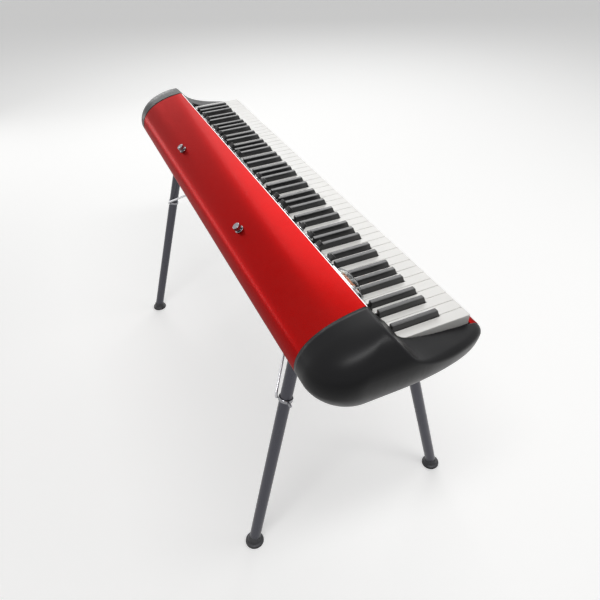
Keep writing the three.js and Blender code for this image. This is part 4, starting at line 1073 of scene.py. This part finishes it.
class BuildThumbScrews(bpy.types.Operator):
    """Knurled thumb screws on the cover"""

    bl_idname = "piano.build_thumb_screws"
    bl_label = "Thumb screws"

    def execute(self, context):
        ribs = context.scene.piano_controls.screw_ribs
        y, z = bezier(CROWN, 0.515)
        slope = bezier(CROWN, 0.5155) - bezier(CROWN, 0.5145)
        axis = unit(np.array([0, -slope[1], slope[0]]))
        for name in ("screw_left", "screw_right"):
            solid = f"thumb_{name}"
            screw = turned(SCREW, (middle_x(solid), y, z), axis, 144, ribs, 0.45, (5.5, 12.5))
            piece(name, [screw], name, "chrome_trim", "chrome_dark", solid, sharp=35)
        return {"FINISHED"}


# Back, with the sockets' profiles of (radius, depth)

PHONE_SOCKET = [
    (5.1, 0.3), (6.7, 0.3), (7.0, 0.6), (7.0, 2.4), (6.6, 2.8), (5.2, 2.8), (5.0, 3.4), (5.0, 5.6),
    (4.7, 6.0),
    (3.5, 6.0), (3.3, 5.7), (3.3, -17), (3.0, -17), (0, -17), (0, -18), (5, -18), (5, 0.3), (5.1, 0.3),
]
ROUND_SOCKET = [
    (7.6, -24), (7.6, 0.3), (8.7, 0.3), (9.0, 0.6), (9.0, 2.8), (8.6, 3.3), (6.7, 3.3), (6.4, 3.0),
    (6.4, -4.6),
    (0, -4.6), (0, -24),
]
ROUND_INSERT = [(0, -4.5), (6.3, -4.5), (6.3, -1.6), (6.0, -1.3), (0, -1.3)]
SQUARE_SECTION = [(0, 24.0), (0, -2.7), (0.3, -3.0), (1.7, -3.0), (2.0, -2.7), (2.0, 5.0), (1.7, 24.0)]


def divided(outline, step):
    """The outline with its sides cut into parts of at least a step."""
    made = []
    for start, end in zip(outline, np.roll(outline, -1, 0)):
        count = max(1, int(np.linalg.norm(end - start) / step))
        made.append(np.linspace(start, end, count, endpoint=False))
    return np.vstack(made)


class BuildSockets(bpy.types.Operator):
    """Sockets on their board, and the bright rim that follows the back's bend round them"""

    bl_idname = "piano.build_sockets"
    bl_label = "Sockets"

    def execute(self, context):
        low, high = solid_box("jack_plate")
        places = np.linspace(low[0] - GAP + 23, high[0] + GAP - 23, 10)
        face = SOCKET_FACE_Y
        body_y = face - 2.3
        board_y = body_y - 22
        metal, inner = [], []
        for x in places[:7]:
            metal.append(turned(PHONE_SOCKET, (x, face, RECESS_Z), Y_AXIS, 40))
            inner += moved(block(oblong_at(x, RECESS_Z, 7, 7, 0.8), -body_y, -board_y, 0.5), TO_FRONT)
        for x in places[7:9]:
            metal.append(turned(ROUND_SOCKET, (x, face, RECESS_Z), Y_AXIS))
            inner.append(turned(ROUND_INSERT, (x, face, RECESS_Z), Y_AXIS, 40))
            for pin_x, pin_z in arc((x, RECESS_Z), 4.1, 0, 180, 5):
                metal.append(turned(disc(0.75, 0, 0.35), (pin_x, face - 1.35, pin_z), Y_AXIS, 12))
        x = places[9]
        shell = grid(ringed(oblong_at(x, RECESS_Z, 6.5, 6, 1.0), SQUARE_SECTION))
        metal += moved([shell], TO_FRONT, (0, face, 0))
        tongue = block(oblong_at(x, RECESS_Z, 3.2, 2.6, 0.4), 1.6 - face, -board_y, 0.3)
        piece("socket_rings", metal, CASE, "socket_metal", "satin_metal", "jack_board")
        piece("socket_bodies", inner + moved(tongue, TO_FRONT), CASE, "recess_moulding", "recess_black")
        outline = oblong(places[0] - 12, x + 12, RECESS_Z - 12, RECESS_Z + 12, 1.5)
        board = moved(block(outline, -board_y - 0.8, -board_y + 1.6, 0.2), TO_FRONT)
        piece("socket_board", board, CASE, "circuit_board", "green_board")

        low, high = solid_box("jack_bezel")
        outline = divided(oblong(low[0], high[0], RECESS_LOW - 4, RECESS_HIGH + 4, 3.4, 8), 4)
        section = np.vstack([[(0.05, 0.35)], arc((1.9, 0.8), (1.85, 0.95), 180, 0, 9), [(3.75, 0.35)]])
        rim = grid(follow_back(ringed(outline, section)))
        piece("recess_rim", [rim], CASE, "chrome_trim", "satin_metal", "jack_bezel")
        return {"FINISHED"}


class BuildPower(bpy.types.Operator):
    """Contacts of the mains inlet and the rocker beside it"""

    bl_idname = "piano.build_power"
    bl_label = "Power"

    def execute(self, context):
        middle, face = middle_x("power_inlet"), SOCKET_FACE_Y
        inlet_x, rocker_x = middle - 20, middle + 21
        pins = []
        for side, up in ((-7, -1.5), (0, 2.5), (7, -1.5)):
            outline = oblong_at(inlet_x + side, RECESS_Z + up, 1, 2, 0.5)
            pins += moved(block(outline, face - 15, face - 2.5, 0.5), TO_BACK)
        piece("inlet_pins", pins, CASE, "socket_metal", "satin_metal")

        half, tilt = 10.6, math.radians(-7)
        share = np.linspace(-1, 1, 33)
        top = np.column_stack([half * share, 0.8 + 1.6 * share**2 - 0.35 * np.abs(share) ** 16])
        loop = np.vstack([top, [(half, 1.2), (8.6, -7), (-8.6, -7), (-half, 1.2)]])[::-1]
        spin = [[math.cos(tilt), math.sin(tilt)], [-math.sin(tilt), math.cos(tilt)]]
        spun = loop @ spin + [rocker_x, face - 1]
        cap = stacked([(spun, RECESS_Z - 6.5), (spun, RECESS_Z + 6.5)])
        piece("rocker_cap", cap, "rocker", "switch_black", "knob_black", "power_switch", bevel=0.6)
        return {"FINISHED"}


# Stand: heights of a foot's profiles are above the floor

LEG_TOP_X, FOOT_X, FOOT_Y = 444.3, 492.0, 253.5
LEG_RADIUS, LEG_BORE = 13.0, 11.0
BALL_Z, BALL_RADIUS = 11.0, 15.5
SIDES = (("left", -1), ("right", 1))
PAD = [(0, 0), (20.8, 0), (21.6, 0.4), (22, 1.4), (22, 3.4), (21.7, 4.2), (20.6, 4.6), (0, 4.6)]
CUP = np.vstack([
    [(0, 4.5), (21.0, 4.5), (21.5, 5.0), (21.4, 5.8)],
    bend([(21.0, 6.4), (19, 8.2), (16.4, 7.8), (BALL_RADIUS, BALL_Z)], 10),
    arc((0, BALL_Z), BALL_RADIUS, 0, 90, 14)[1:],
])
SLEEVE = [
    (13.4, None), (17.3, None), (17.3, 44.6), (17.0, 45.6), (16.2, 46), (13.9, 46), (13.4, 45.5),
    (13.4, None),
]
FOOT_PIN = [(0, 3.7), (9, 3.7), (9, 36.26), (8.4, 37), (0, 37)]
RAIL_SCREW = [(0, 0.4), (4.2, 0.4), (4.2, -0.4), (3.0, -1.9), (1.6, -2.1), (1.4, -1.2), (0, -1.2)]
COLLAR = [
    (13.4, -3.6), (13.7, -4), (14.9, -4), (15.5, -3.4), (15.5, 3.4), (14.9, 4), (13.7, 4), (13.4, 3.6),
    (13.4, -3.6),
]
CLAMP_SCREW = [(0, 14), (2.2, 14), (2.2, 17.4), (3.0, 17.8), (3.2, 18.4), (3.2, 24.6), (2.8, 25.4),
    (0, 25.5)]
PLATE_SCREW = [(0, 0.4), (3.4, 0.4), (3.4, -0.3), (2.4, -1.5), (0, -1.7)]


def leg_line(side, end):
    """Top of a leg, the ball of its foot, and the unit direction down it."""
    top_y = BODY_BACK - 67.2 if end > 0 else BODY_FRONT + 57.8
    top = np.array([side * LEG_TOP_X, top_y, BODY_BOTTOM])
    ball = np.array([side * FOOT_X, end * FOOT_Y, BALL_Z])
    return top, ball, unit(ball - top)


def on_leg(top, down, profile, plane=0.0):
    """A profile of (radius, distance down the leg) turned round it; None sets the ring in a level plane."""
    angle = np.linspace(0, 2 * np.pi, 49)[:, None]
    first = unit(np.cross(down, (0.0, 0, 1)))
    radial = first * np.cos(angle) + np.cross(down, first) * np.sin(angle)
    rings = []
    for radius, distance in profile:
        reach = (plane - top[2] - radius * radial[:, 2:]) / down[2] if distance is None else distance
        rings.append(top + radius * radial + reach * down)
    return grid(np.stack(rings))


class BuildLegs(bpy.types.Operator):
    """Leg tubes, their sleeves and rails, and the feet"""

    bl_idname = "piano.build_legs"
    bl_label = "Legs and feet"

    def execute(self, context):
        rail_top = BODY_BOTTOM - GAP
        for name, side in SIDES:
            plate = []
            for end_name, end in (("front", -1), ("back", 1)):
                top, ball, down = leg_line(side, end)
                corner = f"{name}_{end_name}"
                start = (5.6 + LEG_RADIUS * math.hypot(down[0], down[1])) / abs(down[2])
                stop = np.linalg.norm(ball - top) - math.sqrt(BALL_RADIUS**2 - LEG_BORE**2) - GAP
                tube = [
                    (11.4, start + 0.4), (12.6, start + 0.2), (LEG_RADIUS, start + 0.7),
                    *np.linspace((LEG_RADIUS, start + 4), (LEG_RADIUS, stop - 4), 30),
                    (LEG_RADIUS, stop - 0.8),
                    (12.7, stop - 0.1), (11.3, stop), (11.3, start + 2), (11.4, start + 0.4),
                ]
                piece(f"tube_{corner}", [on_leg(top, down, tube)], CASE, "leg_metal", "leg_metal",
                    f"leg_{corner}")
                plate.append(on_leg(top, down, SLEEVE, rail_top - 4.2))
                foot = (ball[0], ball[1], 0)
                pad = turned(PAD, foot, segments=64)
                piece(f"pad_{corner}", [pad], CASE, "foot_rubber", "rubber", f"foot_{corner}")
                cup, pin = turned(CUP, foot, segments=64), turned(FOOT_PIN, ball, -down, 32)
                piece(f"cup_{corner}", [cup, pin], CASE, "leg_metal", "dark_steel")
            x = side * LEG_TOP_X
            front_y, back_y = leg_line(side, -1)[0][1] - 40, leg_line(side, 1)[0][1] + 20
            flat = block(oblong(x - 30, x + 30, front_y, back_y, 6, 6), -rail_top, -rail_top + 5, 0.8)
            plate += moved(flat, HANGING)
            for share in (0.12, 0.37, 0.63, 0.88):
                for across in (-22, 22):
                    at = (x + across, front_y + share * (back_y - front_y), rail_top - 5)
                    plate.append(turned(RAIL_SCREW, at, segments=20))
            piece(f"rail_{name}", plate, CASE, "leg_metal", "dark_steel", f"leg_rail_{name}")
        return {"FINISHED"}


class BuildStays(bpy.types.Operator):
    """Clamps on the back legs and the stay rods that hook into them"""

    bl_idname = "piano.build_stays"
    bl_label = "Clamps and stay rods"

    def execute(self, context):
        clamp_drop, hook_drop, clamp_angle, eye_reach, rod_radius = 145, 137, math.radians(59), 18.8, 3
        for name, side in SIDES:
            top, _, down = leg_line(side, 1)
            middle, hook = (top + down * drop / abs(down[2]) for drop in (clamp_drop, hook_drop))
            out = np.array([-side * math.cos(clamp_angle), math.sin(clamp_angle), 0])
            screw = turned(CLAMP_SCREW, middle, (side, 0, 0), 72, 18, 0.25, (18.2, 24.8))
            piece(
                f"collar_{name}", [on_leg(middle, down, COLLAR), screw], CASE, "chrome_trim", "chrome_dark",
                f"leg_clamp_{name}")

            foot = np.array([side * (LEG_TOP_X - 190.3), BODY_BACK - 155, BODY_BOTTOM - 3.3])
            start, corner = middle + eye_reach * out, hook + (eye_reach + 3) * out
            path = smooth_corner(start, corner, foot + 0.2 * unit(corner - foot), 5)
            section = arc((0, 0), rod_radius, 0, 360, 21)
            rod = carried(section, path, np.cross(corner - start, foot - corner))
            outline = oblong_at(foot[0], foot[1], 20, 13, 5, 6)
            plate = moved(block(outline, GAP - BODY_BOTTOM, 3.3 - BODY_BOTTOM, 0.6), HANGING)
            screws = [turned(PLATE_SCREW, foot + step * X_AXIS, segments=20) for step in (-14, 14)]
            piece(
                f"rod_{name}", [*rod, *plate, *screws], CASE, "rod_steel", "satin_metal",
                f"stay_rod_{name}")
        return {"FINISHED"}


def smooth_corner(start, corner, end, radius):
    """A path whose corner is a bend: (1-t)^2 of its start, 2t(1-t) of the corner and t^2 of its end."""
    t = np.linspace(0, 1, 10)[:, None]
    first, last = corner + unit(start - corner) * radius, corner + unit(end - corner) * radius
    return np.vstack([start, first * (1 - t) ** 2 + 2 * corner * t * (1 - t) + last * t**2, end])


class DressInside(bpy.types.Operator):
    """Finishes of the solids that stay as they are, with their meshes unchanged"""

    bl_idname = "piano.dress_inside"
    bl_label = "Panel and inner parts"

    def execute(self, context):
        looks = {
            "control_panel": "panel_black", "bottom_case": "dark_steel", "key_frame": "bare_sheet",
            "contact_board": "green_board", "main_board": "green_board", "jack_plate": "recess_black",
            "power_inlet": "recess_black",
        }
        for label, look in looks.items():
            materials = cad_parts[label].data.materials
            materials.clear()
            materials.append(finish(look))
        return {"FINISHED"}


# Stage, in metres

AIM = (0.0, 0.0, 0.6)
LAMPS = {
    "main": ((-1.1, 0.15, 2.7), (2.4, 0.34)),
    "far": ((2.6, -1.35, 2.6), (2.8, 2.2)),
    "fill": ((-0.8, -2.4, 1.8), (2.0, 1.0)),
    "low": ((2.3, 1.75, 0.55), (2.0, 0.34)),
    "end": ((2.6, 0.1, 1.1), (0.6, 0.3)),
}
CAMERA_PLACE = (-1.1543, 0.3955, 1.2916)
CAMERA_YAW, CAMERA_PITCH, CAMERA_ROLL = (math.radians(a) for a in (-23.2064, -39.3065, -2.0735))
SENSOR_MM = 36.0
FLOOR_HALF = 8


def seen_share(tree, unseen, seen):
    """A value for rays from the camera, a shiny surface or glass, and another for all other rays."""
    rays = tree.nodes.new("ShaderNodeLightPath").outputs
    most = worked_out(tree, "MAXIMUM", rays["Is Camera Ray"], rays["Is Glossy Ray"])
    most = worked_out(tree, "MAXIMUM", most, rays["Is Transmission Ray"])
    return node(tree, "MapRange", {"Value": most, "To Min": unseen, "To Max": seen}).outputs[0]


def floor_finish(colour):
    """Matt floor that shows nearly white, by a little light of its own for the camera and for reflections."""
    made = bpy.data.materials.new("floor")
    made.use_nodes = True
    inputs = made.node_tree.nodes["Principled BSDF"].inputs
    inputs["Base Color"].default_value = (*colour, 1)
    inputs["Roughness"].default_value = 0.9
    inputs["Emission Color"].default_value = (1, 1, 1, 1)
    made.node_tree.links.new(seen_share(made.node_tree, 0.0, 0.4), inputs["Emission Strength"])
    return made


def lamp(name, power):
    """A soft lamp of one of the places and sizes, turned to the piano; the fill lamp shows in no gloss."""
    place, size = LAMPS[name]
    data = bpy.data.lights.new(f"{name} lamp", "AREA")
    data.shape, data.size, data.size_y, data.energy = "RECTANGLE", *size, power
    made = bpy.data.objects.new(f"{name} lamp", data)
    made.location = place
    made.rotation_euler = (Vector(AIM) - Vector(place)).to_track_quat("-Z", "Y").to_euler()
    made.visible_camera, made.visible_glossy = False, name != "fill"
    bpy.context.scene.collection.objects.link(made)


def camera_turn():
    """The camera's axes: forward from yaw and pitch, and the other two turned about it by the roll."""
    flat = math.cos(CAMERA_PITCH)
    forward = Vector((flat * math.cos(CAMERA_YAW), flat * math.sin(CAMERA_YAW), math.sin(CAMERA_PITCH)))
    right = forward.cross(Vector((0, 0, 1))).normalized()
    up = right.cross(forward)
    across = math.cos(CAMERA_ROLL) * right + math.sin(CAMERA_ROLL) * up
    upright = -math.sin(CAMERA_ROLL) * right + math.cos(CAMERA_ROLL) * up
    return Matrix((across, upright, -forward)).transposed().to_4x4()


class SetStage(bpy.types.Operator):
    """Pale floor, soft lamps, world light and the camera"""

    bl_idname = "piano.set_stage"
    bl_label = "Stage"

    def execute(self, context):
        scene = context.scene
        stage = scene.piano_stage
        scene.view_settings.view_transform = "Standard"

        mesh = bpy.data.meshes.new("floor")
        corners = oblong(-FLOOR_HALF, FLOOR_HALF, -FLOOR_HALF, FLOOR_HALF)
        mesh.from_pydata([(x, y, 0) for x, y in corners], [], [(0, 1, 2, 3)])
        floor = bpy.data.objects.new("floor", mesh)
        scene.collection.objects.link(floor)
        mesh.materials.append(floor_finish(scene.piano_colours.floor))

        scene.world = scene.world or bpy.data.worlds.new("World")
        scene.world.use_nodes = True
        tree = scene.world.node_tree
        tree.nodes.clear()
        light = {"Color": (1, 1, 1, 1), "Strength": seen_share(tree, stage.sky, 1.0)}
        node(tree, "OutputWorld", {"Surface": node(tree, "Background", light).outputs[0]})
        for name in LAMPS:
            lamp(name, getattr(stage, f"{name}_power"))

        camera = bpy.data.cameras.new("camera")
        camera.lens, camera.sensor_width, camera.clip_start = stage.lens, SENSOR_MM, 0.01
        viewer = bpy.data.objects.new("camera", camera)
        viewer.matrix_world = Matrix.Translation(CAMERA_PLACE) @ camera_turn()
        scene.collection.objects.link(viewer)
        scene.camera = viewer
        return {"FINISHED"}


# Panel and main

STEPS = [
    BuildCover, BuildCaps, BuildRail, BuildWhiteKeys, BuildBlackKeys, BuildKnobs, BuildButtons, BuildWindow,
    BuildThumbScrews, BuildSockets, BuildPower, BuildLegs, BuildStays, DressInside, SetStage,
]
SETTINGS = {
    "piano_body": PianoBodySizes, "piano_keys": PianoKeySizes, "piano_controls": PianoControlSizes,
    "piano_colours": PianoColours, "piano_stage": PianoStageSettings,
}


class PianoSidebar(bpy.types.Panel):
    """Sizes, colours and steps of the piano"""

    bl_idname = "PIANO_PT_sidebar"
    bl_label = "Stage piano"
    bl_space_type = "VIEW_3D"
    bl_region_type = "UI"
    bl_category = "Piano"

    def draw(self, context):
        for name, kind in SETTINGS.items():
            column = self.layout.column(align=True)
            for key in kind.__annotations__:
                column.prop(getattr(context.scene, name), key)
        for step in STEPS:
            self.layout.operator(step.bl_idname)


CLASSES = [*SETTINGS.values(), *STEPS, PianoSidebar]


def register():
    for kind in CLASSES:
        bpy.utils.register_class(kind)
    for name, kind in SETTINGS.items():
        setattr(bpy.types.Scene, name, PointerProperty(type=kind))


def unregister():
    for name in SETTINGS:
        delattr(bpy.types.Scene, name)
    for kind in reversed(CLASSES):
        bpy.utils.unregister_class(kind)


def main():
    register()
    for step in STEPS:
        getattr(bpy.ops.piano, step.bl_idname.split(".")[1])()


if __name__ == "__main__":
    main()
